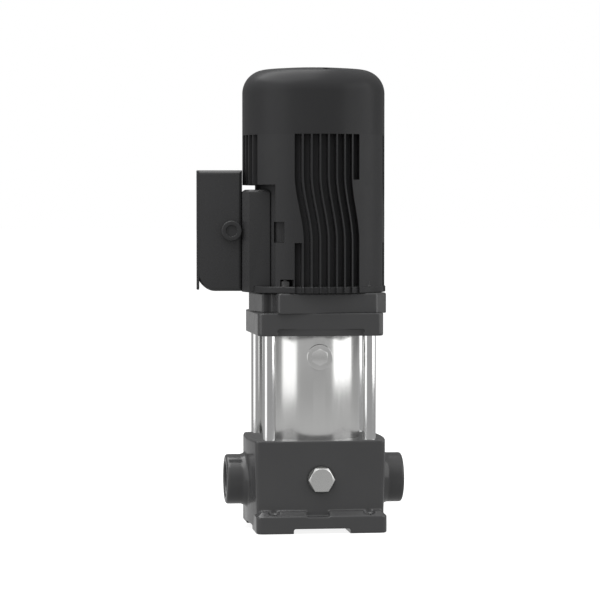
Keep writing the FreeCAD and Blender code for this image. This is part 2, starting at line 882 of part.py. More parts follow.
def box_profile(inset, y):
    left, right = box_face + inset, adapter_face - inset
    low, high = box_bottom + inset, box_top - inset
    wide, tall = box_sweep_width - inset, box_sweep_height - inset
    corner = box_top_corner - inset / 2
    hold = 0.5523

    def point(x, z):
        return FreeCAD.Vector(x, y, z)

    sweep = Part.BezierCurve()
    sweep.setPoles([point(left + wide, low), point(left + wide * (1 - hold), low),
                    point(left, low + tall * (1 - hold)), point(left, low + tall)])
    knee = corner * (1 - math.sqrt(0.5))
    bend = Part.Arc(point(left, high - corner), point(left + knee, high - knee), point(left + corner, high))
    return Part.Wire([
        Part.makeLine(point(right, low), point(left + wide, low)), sweep.toShape(),
        Part.makeLine(point(left, low + tall), point(left, high - corner)), bend.toShape(),
        Part.makeLine(point(left + corner, high), point(right, high)),
        Part.makeLine(point(right, high), point(right, low))])


def terminal_housing():
    outer = Part.Face(box_profile(0, -box_half)).extrude(FreeCAD.Vector(0, 2 * box_half, 0))
    rims = [e for e in outer.Edges if abs(abs(e.BoundBox.YMin) - box_half) < 0.001 and
            e.BoundBox.YLength < 0.001]
    outer = outer.makeFillet(box_edge, rims)
    half = box_half - box_wall
    inner = Part.Face(box_profile(box_wall, -half)).extrude(FreeCAD.Vector(0, 2 * half, 0))
    mouth = block(box_face - 1, box_face + box_wall + 1, -half + box_edge, half - box_edge,
                  box_bottom + box_sweep_height, box_top - box_top_corner - box_wall)
    wires = facing(rod(wire_hole, -adapter_face - 1, -box_face - box_wall),
                   FreeCAD.Vector(-1, 0, 0), z=gland_z)
    entry = facing(rod(gland_thread + slip, 0, box_half + 1), FRONT, x=gland_x, z=gland_z)
    pilots = [cover_screw_cut(y, z) for y, z in cover_screw_places()]
    rim = rod(rim_radius + slip, box_bottom - 1, frame_bottom + rim_height + slip)
    return turned(one_solid(outer.cut([inner, mouth, wires, entry, rim] + pilots)), box_turn)


def cover_screw_places():
    return [(side * cover_screw_y, z) for side in (-1, 1) for z in (cover_screw_low, cover_screw_high)]


def cover_screw_cut(y, z):
    length = cover_screw_length + 1
    hole = rod(cover_screw_radius + running, -length, 1)
    return facing(hole, FreeCAD.Vector(-1, 0, 0), x=box_face, y=y, z=z)


def sunk_screw(grow):
    head = Part.makeCone(cover_screw_radius + grow, 2 * cover_screw_radius + grow, cover_thickness - cover_lip)
    head.translate(FreeCAD.Vector(0, 0, cover_lip))
    shank = rod(cover_screw_radius + grow, cover_lip - cover_screw_length, cover_lip)
    return head.fuse(shank)


def terminal_cover():
    plate = block(box_face - cover_thickness, box_face, -box_half, box_half, cover_bottom, box_top)
    left = FreeCAD.Vector(-1, 0, 0)
    cuts = [facing(sunk_screw(running), left, x=box_face, y=y, z=z) for y, z in cover_screw_places()]
    return turned(plate.cut(cuts), box_turn)


def cover_screws():
    left = FreeCAD.Vector(-1, 0, 0)
    screws = [facing(sunk_screw(0), left, x=box_face, y=y, z=z) for y, z in cover_screw_places()]
    return [turned(screw, box_turn) for screw in screws]


def terminal_adapter():
    body = block(adapter_face, adapter_inner, -adapter_half, adapter_half, adapter_bottom, adapter_top)
    outer_uprights = [e for e in upright_edges(body) if abs(e.BoundBox.XMin - adapter_face) < 0.001]
    body = body.makeFillet(box_edge, outer_uprights)
    room = block(adapter_face + box_wall, adapter_inner + 1, box_wall - adapter_half,
                 adapter_half - box_wall, adapter_bottom + 2 * box_wall, adapter_top - box_wall)
    wires = facing(rod(wire_hole, 0, -adapter_face + 1), FreeCAD.Vector(-1, 0, 0), z=gland_z)
    low = frame_bottom + rim_height
    clear = rod(rim_radius + running, adapter_bottom - 1, low)
    clear = clear.fuse(rod(core_radius + running, low - 1, adapter_top + 1))
    body = turned(body.cut([room, wires, clear]), box_turn)
    return one_solid(body.cut([turned(pocket, motor_turn) for pocket in bolt_pockets()]))


def terminal_block():
    back = adapter_face - box_wall
    body = block(back - board_thickness, back, -board_half_y, board_half_y, board_bottom, board_top)
    cuts = [stud(y, z, running) for y, z in stud_places()]
    return turned(body.cut(cuts), box_turn)


def stud_places():
    middle = (board_bottom + board_top) / 2
    return [(stud_pitch_y * column, middle + stud_pitch_z / 2 * row)
            for column in (-1, 0, 1) for row in (-1, 1)]


def stud(y, z, grow):
    start = -adapter_face + box_wall + board_thickness / 2
    return facing(rod(stud_radius + grow, start, start + stud_length), FreeCAD.Vector(-1, 0, 0), y=y, z=z)


def terminal_studs():
    return [turned(stud(y, z, 0), box_turn) for y, z in stud_places()]


def gland_body():
    collar = rod(gland_radius, box_half, box_half + gland_height)
    collar = collar.makeFillet(1.2, level_edges(collar, box_half + gland_height))
    thread = rod(gland_thread, box_half - box_wall - gland_reach, box_half)
    bore = rod(gland_seal_bore + 1, 0, box_half + gland_height + 1)
    seat = rod(gland_mouth, box_half - box_wall, box_half + gland_height + 1)
    body = collar.fuse(thread).cut([bore, seat])
    return turned(facing(body, FRONT, x=gland_x, z=gland_z), box_turn)


def gland_seal():
    body = ring(gland_mouth - running, gland_seal_bore, box_half - box_wall,
                box_half + gland_height - gland_mouth_depth)
    return turned(facing(body, FRONT, x=gland_x, z=gland_z), box_turn)


# Plugs


def drain_washer():
    washer = ring(drain_washer_radius, drain_thread + slip, drain_face, drain_face + plug_washer)
    return facing(washer, FRONT, z=drain_height)


def hex_head(flats, low, high):
    corner = flats / 2 / math.cos(math.radians(30))
    drop = corner - flats / 2
    dome = spun([(0, low), (corner, low), (corner, high - drop * 0.58), (flats / 2 * 0.96, high), (0, high)])
    return hexagon(flats, low, high).common(dome)


def drain_plug():
    seat = drain_face + plug_washer
    body = hex_head(drain_flats, seat, seat + drain_head)
    body = body.fuse(rod(drain_thread, drain_face - drain_thread_length, seat))
    return facing(one_solid(body), FRONT, z=drain_height)


def vent_boss():
    boss = rod(vent_boss_radius, vent_boss_inner, vent_boss_face)
    boss = boss.cut(rod(vent_thread + slip, vent_boss_inner - 1, vent_boss_face + 1))
    boss = facing(boss, FRONT, z=vent_height)
    wall = ring(jacket_radius + running, jacket_radius - jacket_wall - running, base_top, head_bottom)
    return sorted(boss.cut(wall).Solids, key=lambda part: part.BoundBox.YMax)


def vent_washer():
    washer = ring(vent_boss_radius, vent_thread + slip, vent_boss_face, vent_boss_face + plug_washer)
    return facing(washer, FRONT, z=vent_height)


def vent_plug():
    seat = vent_boss_face + plug_washer
    flange = rod(vent_flange_radius, seat, seat + vent_flange)
    flange = flange.makeFillet(1.0, level_edges(flange, seat + vent_flange))
    head = hex_head(vent_flats, seat + vent_flange, seat + vent_flange + vent_head)
    thread = rod(vent_thread, vent_boss_inner + 0.5, seat)
    return facing(one_solid(flange.fuse([turned(head, 30), thread])), FRONT, z=vent_height)


def subparts():
    parts = {
        "base_casting": base_casting(),
        "jacket": jacket_shell(),
        "jacket_seals": Part.Compound(jacket_seals()),
        "tie_rods": Part.Compound(tie_rods()),
        "tie_rod_washers": Part.Compound(tie_rod_washers()),
        "tie_rod_nuts": Part.Compound(tie_rod_nuts()),
        "inlet_spider": inlet_spider(),
        "lower_bearing_bush": bearing_bush(),
        "discharge_ring": discharge_ring(),
        "pump_head": pump_head(),
        "seal_seat": seal_seat(),
        "rotating_seal_ring": rotating_seal(),
        "pump_shaft": pump_shaft(),
        "coupling_pin": coupling_pin(),
        "shaft_sleeves": Part.Compound(shaft_sleeves()),
        "shaft_nut": shaft_nut(),
        "motor_shaft": motor_shaft(),
        "motor_flange": motor_flange(),
        "motor_frame": motor_frame(),
        "flange_bolts": Part.Compound(flange_bolts()),
        "stator_core": stator_core(),
        "stator_windings": Part.Compound(stator_windings()),
        "rotor_core": rotor_core(),
        "bearing_inner_rings": Part.Compound(bearing_rings(True)),
        "bearing_outer_rings": Part.Compound(bearing_rings(False)),
        "bearing_balls": Part.Compound(bearing_balls()),
        "wave_washer": wave_washer(),
        "upper_end_shield": upper_end_shield(),
        "shield_screws": Part.Compound(shield_screws()),
        "fan_cowl": fan_cowl(),
        "cowl_screws": Part.Compound(cowl_screws()),
        "fan": fan(),
        "fan_clip": fan_clip(),
        "terminal_adapter": terminal_adapter(),
        "terminal_housing": terminal_housing(),
        "terminal_cover": terminal_cover(),
        "cover_screws": Part.Compound(cover_screws()),
        "terminal_block": terminal_block(),
        "terminal_studs": Part.Compound(terminal_studs()),
        "gland_body": gland_body(),
        "gland_seal": gland_seal(),
        "drain_washer": drain_washer(),
        "drain_plug": drain_plug(),
        "vent_boss": Part.Compound(vent_boss()),
        "vent_washer": vent_washer(),
        "vent_plug": vent_plug(),
    }
    for index in range(stage_count):
        parts["stage_casing_%d" % (index + 1)] = stage_casing(index)
        parts["diffuser_%d" % (index + 1)] = diffuser(index)
        parts["impeller_%d" % (index + 1)] = impeller(index)
    return parts


os.makedirs("parts", exist_ok=True)
for name, shape in subparts().items():
    shape.exportStep("parts/%s.step" % name)
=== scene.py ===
import bmesh
import bpy
import json
import math
from mathutils import Matrix, Vector


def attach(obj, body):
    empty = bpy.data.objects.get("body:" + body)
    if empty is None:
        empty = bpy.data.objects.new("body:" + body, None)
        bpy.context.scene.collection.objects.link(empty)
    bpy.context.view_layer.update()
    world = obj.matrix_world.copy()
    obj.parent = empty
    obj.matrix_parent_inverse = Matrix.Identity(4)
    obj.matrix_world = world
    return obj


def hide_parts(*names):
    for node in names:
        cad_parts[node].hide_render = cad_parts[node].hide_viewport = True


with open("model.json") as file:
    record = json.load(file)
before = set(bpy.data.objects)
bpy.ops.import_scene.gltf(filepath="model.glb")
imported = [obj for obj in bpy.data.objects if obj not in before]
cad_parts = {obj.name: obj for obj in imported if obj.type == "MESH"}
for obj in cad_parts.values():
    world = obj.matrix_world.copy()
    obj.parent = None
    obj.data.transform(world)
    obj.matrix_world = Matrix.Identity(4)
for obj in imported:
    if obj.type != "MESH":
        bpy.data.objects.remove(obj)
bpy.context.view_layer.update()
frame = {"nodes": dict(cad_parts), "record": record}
scene = bpy.context.scene
nodes = frame["nodes"]
mm = 0.001   # the shapes below are drawn in millimetres
toFront = Matrix.Rotation(math.pi / 2, 4, "X")
toLeft = Matrix.Rotation(-math.pi / 2, 4, "Y")
toRight = Matrix.Rotation(math.pi / 2, 4, "Y")
motorTurn = Matrix.Rotation(math.radians(6.2), 4, "Z")
boxTurn = Matrix.Rotation(math.radians(-5.0), 4, "Z")


# Camera, floor and light

photoView = {"place": (-0.378, -2.932, 0.3575), "aim": (-0.0154, 0.0, 0.2598), "lens": 154.5}

cameraData = bpy.data.cameras.new("photoCamera")
cameraData.lens = photoView["lens"]
camera = bpy.data.objects.new("photoCamera", cameraData)
camera.location = photoView["place"]
aim = Vector(photoView["aim"]) - Vector(photoView["place"])
camera.rotation_euler = aim.to_track_quat("-Z", "Y").to_euler()
scene.collection.objects.link(camera)
scene.camera = camera
scene.view_settings.view_transform = "Standard"


def addNode(tree, kind, inputs=None, **settings):
    node = tree.nodes.new(kind)
    for key, value in settings.items():
        setattr(node, key, value)
    for key, value in (inputs or {}).items():
        if isinstance(value, bpy.types.NodeSocket):
            tree.links.new(value, node.inputs[key])
        else:
            node.inputs[key].default_value = value
    return node


studio = {
    "backdrop": 1.0,   # what the camera sees behind the pump
    "sky": (   # height, light
        (-1.0, 0.05), (-0.12, 0.10), (0.0, 0.40), (0.35, 0.50), (0.75, 0.9), (1.0, 1.2),
    ),
    "depth": ((-0.3, 1.05), (0.7, 0.40)),   # front to back: the room is darker behind the pump
    "floor": {
        "radius": 60.0, "drop": 0.2, "shade": 0.35, "glow": 0.86,   # as the camera sees it
        "nearReach": 0.3, "farReach": 1.5, "near": 0.52, "far": 0.39,   # as the pump mirrors it
    },
    "lights": {   # place, point that it faces, width, height, brightness
        "overhead": ((-0.55, 0.10, 1.80), (0.0, 0.0, 0.4), 2.2, 1.6, 3.1),
        "leftBox": ((-1.074, -0.412, 0.52), (0.0, 0.0, 0.52), 0.86, 1.0, 1.05),
        "rightBox": ((1.379, -0.448, 0.73), (0.0, 0.0, 0.73), 1.6, 1.30, 1.35),
    },
}


def makeStudio():
    world = bpy.data.worlds.new("studio")
    scene.world = world
    world.use_nodes = True
    tree = world.node_tree
    tree.nodes.clear()
    place = addNode(tree, "ShaderNodeTexCoord")
    split = addNode(tree, "ShaderNodeSeparateXYZ", {0: place.outputs["Generated"]})
    height = addNode(tree, "ShaderNodeMapRange",
                     {"Value": split.outputs["Z"], "From Min": -1.0, "From Max": 1.0})
    ramp = addNode(tree, "ShaderNodeValToRGB", {"Fac": height.outputs[0]})
    while len(ramp.color_ramp.elements) < len(studio["sky"]):
        ramp.color_ramp.elements.new(0.5)
    for stop, (where, light) in zip(ramp.color_ramp.elements, studio["sky"]):
        stop.position, stop.color = (where + 1) / 2, (light, light, light, 1)
    seen = addNode(tree, "ShaderNodeBackground", {"Color": (1, 1, 1, 1), "Strength": studio["backdrop"]})
    (front, brighter), (back, darker) = studio["depth"]
    depth = addNode(tree, "ShaderNodeMapRange",
                    {"Value": split.outputs["Y"], "From Min": front, "From Max": back,
                     "To Min": brighter, "To Max": darker})
    around = addNode(tree, "ShaderNodeBackground",
                     {"Color": ramp.outputs["Color"], "Strength": depth.outputs[0]})
    path = addNode(tree, "ShaderNodeLightPath")
    mix = addNode(tree, "ShaderNodeMixShader",
                  {0: path.outputs["Is Camera Ray"], 1: around.outputs[0], 2: seen.outputs[0]})
    addNode(tree, "ShaderNodeOutputWorld", {0: mix.outputs[0]})
    for name, (spot, target, wide, tall, brightness) in studio["lights"].items():
        data = bpy.data.lights.new(name, "AREA")
        data.shape, data.size, data.size_y = "RECTANGLE", wide, tall
        data.energy = brightness * math.pi * wide * tall
        light = bpy.data.objects.new(name, data)
        light.location = spot
        light.rotation_euler = (Vector(target) - Vector(spot)).to_track_quat("-Z", "Y").to_euler()
        light.visible_camera = False
        scene.collection.objects.link(light)


def makeFloor():
    size = studio["floor"]
    bm = bmesh.new()
    bmesh.ops.create_circle(bm, cap_ends=True, segments=96, radius=size["radius"])
    mesh = bpy.data.meshes.new("floor")
    bm.to_mesh(mesh)
    bm.free()
    floor = bpy.data.objects.new("floor", mesh)
    floor.location.z = -size["drop"] * mm
    scene.collection.objects.link(floor)
    material = bpy.data.materials.new("paleFloor")
    material.use_nodes = True
    tree = material.node_tree
    tree.nodes.clear()
    matt = addNode(tree, "ShaderNodeBsdfDiffuse", {"Color": (size["shade"], size["shade"], size["shade"], 1)})
    glow = addNode(tree, "ShaderNodeEmission", {"Color": (1, 1, 1, 1), "Strength": size["glow"]})
    seen = addNode(tree, "ShaderNodeAddShader", {0: matt.outputs[0], 1: glow.outputs[0]})
    place = addNode(tree, "ShaderNodeTexCoord").outputs["Object"]
    reach = addNode(tree, "ShaderNodeVectorMath", {0: place}, operation="LENGTH").outputs["Value"]
    tone = addNode(tree, "ShaderNodeMapRange",
                   {"Value": reach, "From Min": size["nearReach"], "From Max": size["farReach"],
                    "To Min": size["near"], "To Max": size["far"]},
                   interpolation_type="SMOOTHSTEP").outputs[0]
    table = addNode(tree, "ShaderNodeEmission", {"Strength": tone})
    path = addNode(tree, "ShaderNodeLightPath")
    both = addNode(tree, "ShaderNodeMixShader",
                   {0: path.outputs["Is Camera Ray"], 1: table.outputs[0], 2: seen.outputs[0]})
    under = addNode(tree, "ShaderNodeNewGeometry").outputs["Backfacing"]   # from below the floor is clear
    clear = addNode(tree, "ShaderNodeBsdfTransparent")
    oneSided = addNode(tree, "ShaderNodeMixShader", {0: under, 1: both.outputs[0], 2: clear.outputs[0]})
    addNode(tree, "ShaderNodeOutputMaterial", {0: oneSided.outputs[0]})
    mesh.materials.append(material)


makeStudio()
makeFloor()
print("studio ready")


# Finishes

def noise(tree, place, scale, detail, stretch=None):
    if stretch:
        place = addNode(tree, "ShaderNodeMapping", {"Vector": place, "Scale": stretch}).outputs[0]
    return addNode(tree, "ShaderNodeTexNoise",
                   {"Vector": place, "Scale": scale, "Detail": detail}).outputs[0]


def wire(tree, shader, colour, roughness, normal):
    for label, value in (("Base Color", colour), ("Roughness", roughness), ("Normal", normal)):
        tree.links.new(value, shader.inputs[label])


noiseLow, noiseHigh = 0.3, 0.7   # most values of a noise texture lie between these


def spread(tree, value, low, high):
    return addNode(tree, "ShaderNodeMapRange",
                   {"Value": value, "From Min": noiseLow, "From Max": noiseHigh,
                    "To Min": low, "To Max": high}).outputs[0]


def bumps(tree, value, depth, after=None):
    inputs = {"Height": value, "Strength": 1.0, "Distance": depth * mm}
    if after:
        inputs["Normal"] = after
    return addNode(tree, "ShaderNodeBump", inputs).outputs[0]


def startMaterial(name):
    material = bpy.data.materials.new(name)
    material.use_nodes = True
    tree = material.node_tree
    shader = tree.nodes["Principled BSDF"]
    place = addNode(tree, "ShaderNodeTexCoord").outputs["Object"]
    return material, tree, shader, place


def tint(tree, value, dark, light):
    mixed = addNode(tree, "ShaderNodeMix", {"Factor": value}, data_type="RGBA")
    mixed.inputs[6].default_value = (*dark, 1)
    mixed.inputs[7].default_value = (*light, 1)
    return mixed.outputs[2]


grainSizes = {
    "paintClouds": 22, "metalClouds": 30, "solidClouds": 40,   # soft changes of tone, per metre
    "paintPatches": 60, "skinRatio": 3.5,   # patches of gloss, skin finer than grain
    "metalShade": 0.92,   # tone of a metal's darker clouds
}

paints = {   # dark and light tone, roughness low and high, grain per metre, grain and skin depth in mm, shine
    "castPaint": ((0.055, 0.055, 0.056), (0.063, 0.063, 0.064), 0.15, 0.22, 420, 0.012, 0.004, 0.40),
    "motorPaint": ((0.030, 0.030, 0.031), (0.037, 0.037, 0.038), 0.36, 0.44, 600, 0.012, 0.006, 0.13),
    "cowlPaint": ((0.031, 0.031, 0.032), (0.036, 0.036, 0.037), 0.28, 0.34, 900, 0.005, 0.004, 0.10),
    "boxPaint": ((0.034, 0.034, 0.035), (0.040, 0.040, 0.041), 0.24, 0.32, 900, 0.004, 0.003, 0.3),
}


def makePaint(name):
    dark, light, smooth, rough, grain, depth, skinDepth, shine = paints[name]
    material, tree, shader, place = startMaterial(name)
    clouds = noise(tree, place, grainSizes["paintClouds"], 5)
    patches = noise(tree, place, grainSizes["paintPatches"], 6)
    coarse = bumps(tree, noise(tree, place, grain, 4), depth)
    skin = bumps(tree, noise(tree, place, grain * grainSizes["skinRatio"], 2), skinDepth, coarse)
    wire(tree, shader, tint(tree, clouds, dark, light), spread(tree, patches, smooth, rough), skin)
    shader.inputs["Specular IOR Level"].default_value = shine
    return material


metals = {   # colour, roughness low and high, streak stretch, streak scale, streak depth in mm
    "polishedSteel": ((0.80, 0.80, 0.79), 0.18, 0.24, (1, 1, 0.04), 500, 0.002),
    "rodSteel": ((0.76, 0.76, 0.76), 0.06, 0.12, (1, 1, 12), 300, 0.001),
    "brightSteel": ((0.67, 0.67, 0.66), 0.26, 0.34, (1, 1, 1), 500, 0.001),
    "darkSteel": ((0.10, 0.10, 0.10), 0.38, 0.55, (1, 1, 1), 500, 0.010),
    "stageSteel": ((0.58, 0.58, 0.57), 0.25, 0.40, (1, 1, 20), 200, 0.006),
    "lamination": ((0.34, 0.34, 0.35), 0.40, 0.55, (1, 1, 60), 40, 0.050),
    "copper": ((0.72, 0.30, 0.14), 0.30, 0.45, (1, 1, 1), 300, 0.050),
    "brass": ((0.72, 0.52, 0.24), 0.25, 0.40, (1, 1, 1), 300, 0.006),
}


def makeMetal(name):
    colour, smooth, rough, stretch, scale, depth = metals[name]
    material, tree, shader, place = startMaterial(name)
    clouds = noise(tree, place, grainSizes["metalClouds"], 4)
    streaks = noise(tree, place, scale, 3, stretch)
    darker = tuple(part * grainSizes["metalShade"] for part in colour)
    wire(tree, shader, tint(tree, clouds, darker, colour), spread(tree, streaks, smooth, rough),
         bumps(tree, streaks, depth))
    shader.inputs["Metallic"].default_value = 1.0
    return material


solids = {   # dark and light tone, roughness low and high, grain scale, depth in mm
    "ceramic": ((0.55, 0.53, 0.50), (0.62, 0.60, 0.57), 0.15, 0.25, 300, 0.004),
    "sealRubber": ((0.012, 0.012, 0.012), (0.020, 0.020, 0.020), 0.60, 0.80, 500, 0.020),
    "fibreWasher": ((0.10, 0.10, 0.10), (0.15, 0.15, 0.14), 0.60, 0.80, 500, 0.050),
    "blackPlastic": ((0.016, 0.016, 0.017), (0.022, 0.022, 0.023), 0.35, 0.50, 600, 0.015),
}


def makeSolid(name):
    dark, light, smooth, rough, scale, depth = solids[name]
    material, tree, shader, place = startMaterial(name)
    clouds = noise(tree, place, grainSizes["solidClouds"], 4)
    grain = noise(tree, place, scale, 3)
    wire(tree, shader, tint(tree, clouds, dark, light), spread(tree, grain, smooth, rough),
         bumps(tree, grain, depth))
    return material


finishes = {name: makePaint(name) for name in paints}
finishes.update({name: makeMetal(name) for name in metals})
finishes.update({name: makeSolid(name) for name in solids})
slotOf = {
    "castPaint": "cast_iron_paint", "motorPaint": "motor_paint", "cowlPaint": "cowl_paint",
    "boxPaint": "box_paint", "polishedSteel": "polished_steel", "rodSteel": "rod_steel",
    "brightSteel": "bright_steel", "darkSteel": "dark_steel", "stageSteel": "stage_steel",
    "lamination": "lamination", "copper": "copper", "brass": "brass", "ceramic": "ceramic",
    "sealRubber": "seal_rubber", "fibreWasher": "fibre_washer", "blackPlastic": "black_plastic",
}
print("finishes ready")


# Drawing shapes, in millimetres. A cutter reaches a little past what it cuts.

def roundCorners(points, radii, steps=6):
    rounded = []
    for index, point in enumerate(points):
        radius = radii[index] if isinstance(radii, (list, tuple)) else radii
        corner = Vector(point)
        back = (Vector(points[index - 1]) - corner).normalized()
        ahead = (Vector(points[(index + 1) % len(points)]) - corner).normalized()
        if radius <= 0:
            rounded.append(tuple(corner))
            continue
        half = back.angle(ahead) / 2
        reach = radius / math.tan(half)
        centre = corner + (back + ahead).normalized() * radius / math.sin(half)
        start, end = corner + back * reach - centre, corner + ahead * reach - centre
        straight = half > 1.5   # a corner this flat has no arc to follow
        for step in range(steps + 1):
            blend = start.lerp(end, step / steps) if straight else slerp(start, end, step / steps)
            rounded.append(tuple(centre + blend))
    return rounded


def slerp(start, end, share):
    whole = start.angle(end)
    return (start * math.sin((1 - share) * whole) + end * math.sin(share * whole)) / math.sin(whole)


def inset(outline, amount):
    drawnIn = []
    for index, point in enumerate(outline):
        here = Vector(point)
        before = (here - Vector(outline[index - 1])).normalized()
        after = (Vector(outline[(index + 1) % len(outline)]) - here).normalized()
        inward = Vector((-before.y - after.y, before.x + after.x)).normalized()
        lean = inward.dot(Vector((-before.y, before.x)))
        drawnIn.append(here + inward * amount / max(lean, 0.3))   # no spike at a sharp corner
    return drawnIn


def rimLevels(low, high, lowRadius, highRadius, steps=4):
    turns = [math.pi / 2 * step / steps for step in range(steps + 1)]
    lower = [(low + lowRadius * (1 - math.cos(turn)), lowRadius * (1 - math.sin(turn))) for turn in turns]
    upper = [(high - highRadius * (1 - math.cos(turn)), highRadius * (1 - math.sin(turn))) for turn in turns]
    return (lower if lowRadius else [(low, 0)]) + (upper[::-1] if highRadius else [(high, 0)])


def stacked(outline, levels):
    bm = bmesh.new()
    rings = [[bm.verts.new((x, y, z)) for x, y in inset(outline, amount)] for z, amount in levels]
    for lower, upper in zip(rings, rings[1:]):
        for index in range(len(outline)):
            ahead = (index + 1) % len(outline)
            bm.faces.new((lower[index], lower[ahead], upper[ahead], upper[index]))
    bm.faces.new(rings[0])
    bm.faces.new(rings[-1])
    return bm


def lathe(outline, segments=96):
    bm = bmesh.new()
    rings = []
    turns = [2 * math.pi * step / segments for step in range(segments)]
    for radius, height in outline:
        if radius < 0.00001:
            rings.append([bm.verts.new((0, 0, height))])
        else:
            rings.append([bm.verts.new((radius * math.cos(t), radius * math.sin(t), height)) for t in turns])
    for first, second in zip(rings, rings[1:] + rings[:1]):
        if len(first) + len(second) == 2:
            continue
        for index in range(segments):
            ahead = (index + 1) % segments
            corners = [first[index % len(first)], first[ahead % len(first)],
                       second[ahead % len(second)], second[index % len(second)]]
            bm.faces.new(list(dict.fromkeys(corners)))
    return bm


def pin(radius, low, high, x=0.0, y=0.0, segments=48):
    bm = lathe([(0, low), (radius, low), (radius, high), (0, high)], segments)
    bmesh.ops.translate(bm, vec=(x, y, 0), verts=bm.verts)
    return bm


def box(xLow, xHigh, yLow, yHigh, low, high):
    return stacked([(xLow, yLow), (xHigh, yLow), (xHigh, yHigh), (xLow, yHigh)], [(low, 0), (high, 0)])


def rectangle(halfX, halfY, corner, steps=6):
    return roundCorners([(-halfX, -halfY), (halfX, -halfY), (halfX, halfY), (-halfX, halfY)], corner, steps)


def hexagon(acrossFlats, turn):
    corner = acrossFlats / 2 / math.cos(math.pi / 6)
    turns = [math.radians(60 * side + turn) for side in range(6)]
    return [(corner * math.cos(t), corner * math.sin(t)) for t in turns]


def quarters(x, y):
    return [(x, y), (-x, y), (-x, -y), (x, -y)]


def merged(*shapes):
    whole = bmesh.new()
    for shape in shapes:
        mesh = bpy.data.meshes.new("part")
        shape.to_mesh(mesh)
        shape.free()
        whole.from_mesh(mesh)
        bpy.data.meshes.remove(mesh)
    return whole


def fourPins(low, high, halfX, halfY, radius):
    return merged(*[pin(radius, low, high, x, y) for x, y in quarters(halfX, halfY)])


def moved(shape, *matrices):
    for matrix in matrices:
        bmesh.ops.transform(shape, matrix=matrix, verts=shape.verts)
    return shape


def at(x=0.0, y=0.0, z=0.0):
    return Matrix.Translation((x, y, z))


def toObject(shape, name):
    bmesh.ops.recalc_face_normals(shape, faces=shape.faces)
    moved(shape, Matrix.Scale(mm, 4))
    mesh = bpy.data.meshes.new(name)
    shape.to_mesh(mesh)
    shape.free()
    piece = bpy.data.objects.new(name, mesh)
    scene.collection.objects.link(piece)
    return piece


def backToShape(piece):
    shape = bmesh.new()
    shape.from_mesh(piece.data)
    bpy.data.objects.remove(piece)
    return moved(shape, Matrix.Scale(1 / mm, 4))


def settle(piece):
    bpy.context.view_layer.update()
    ready = piece.evaluated_get(bpy.context.evaluated_depsgraph_get())
    mesh = bpy.data.meshes.new_from_object(ready)
    old = piece.data
    piece.modifiers.clear()
    piece.data = mesh
    bpy.data.meshes.remove(old)
    mesh.name = piece.name
    return piece


def carvedWith(piece, tools, operation="DIFFERENCE"):
    for tool in tools:
        step = piece.modifiers.new("carve", "BOOLEAN")
        step.object, step.operation, step.solver = tool, operation, "EXACT"
    settle(piece)
    for tool in tools:
        bpy.data.objects.remove(tool)


def carved(piece, *cutters, operation="DIFFERENCE"):
    carvedWith(piece, [toObject(cutter, "cutter") for cutter in cutters], operation)


def castSkin(piece, voxel, rounds, keep):   # soft edges and a slightly uneven surface, as cast
    remesh = piece.modifiers.new("skin", "REMESH")
    remesh.mode, remesh.voxel_size = "VOXEL", voxel * mm
    soft = piece.modifiers.new("soften", "SMOOTH")
    soft.factor, soft.iterations = 0.5, rounds
    settle(piece)
    thin = piece.modifiers.new("thin", "DECIMATE")
    thin.ratio = keep
    settle(piece)
    even = piece.modifiers.new("even", "WEIGHTED_NORMAL")
    even.weight = 60
    piece.data.shade_smooth()
    settle(piece)


def finishPiece(piece, finish, body, replaces, sharp=32, keepShading=False):
    piece.data.materials.clear()
    piece.data.materials.append(finishes[finish])
    if not keepShading:
        piece.data.shade_smooth()
        piece.data.set_sharp_from_angle(angle=math.radians(sharp))
    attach(piece, body)
    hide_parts(*replaces)


# Base casting with foot and ports

baseSizes = {
    "foot": (74.0, 80.5, 8.0), "footHeight": 19.0,   # half width, half depth, corner
    "footEdge": ((0, 1.0), (0.3, 0.3), (1.0, 0)),   # height, how far in
    "slope": (7.0, 5.8),   # in and up, above the foot
    "corner": (73.0, 65.5), "bulge": (79.3, 69.5), "cornerRadius": 6.0,
    "top": 103.4, "topEdge": 1.2, "draft": (70.0, 0.972),   # below 70 the sides draw in
    "arch": (32.0, 5.5, 1.5),   # half width, height, edge
    "bolt": (54.0, 73.5, 4.5), "rod": (58.7, 54.5, 7.4),   # x, y, radius
    "spotface": (6.3, 21.3), "pocket": (8.6, 32.0),   # radius, height
    "rodCeiling": 6.0,   # closes the rod holes below the top
    "middle": (-17.0, 8.5, 18.7, 26.5),   # front recess: left, right, low, high
    "portHeight": 55.0, "portFace": 102.0, "portRadius": 28.5, "portEdge": 3.0,
    "portNeck": (32.0, 77.0, 84.0),   # radius, its end, where the port is round
    "bore": 19.5, "boreDepth": 22.0, "boreEdge": 2.5,
    "duct": (15.0, 40.0), "chamber": (22.0, 38.0),   # radius, inner end or floor
    "channel": (45.0, 49.0, 76.0),   # inner and outer radius, floor
    "drainHeight": 60.0, "drainFace": 68.6, "drainHole": 10.4, "drainSeat": 16.5,
    "skin": (1.0, 3, 0.3),   # voxel, smoothing, share of faces kept
}


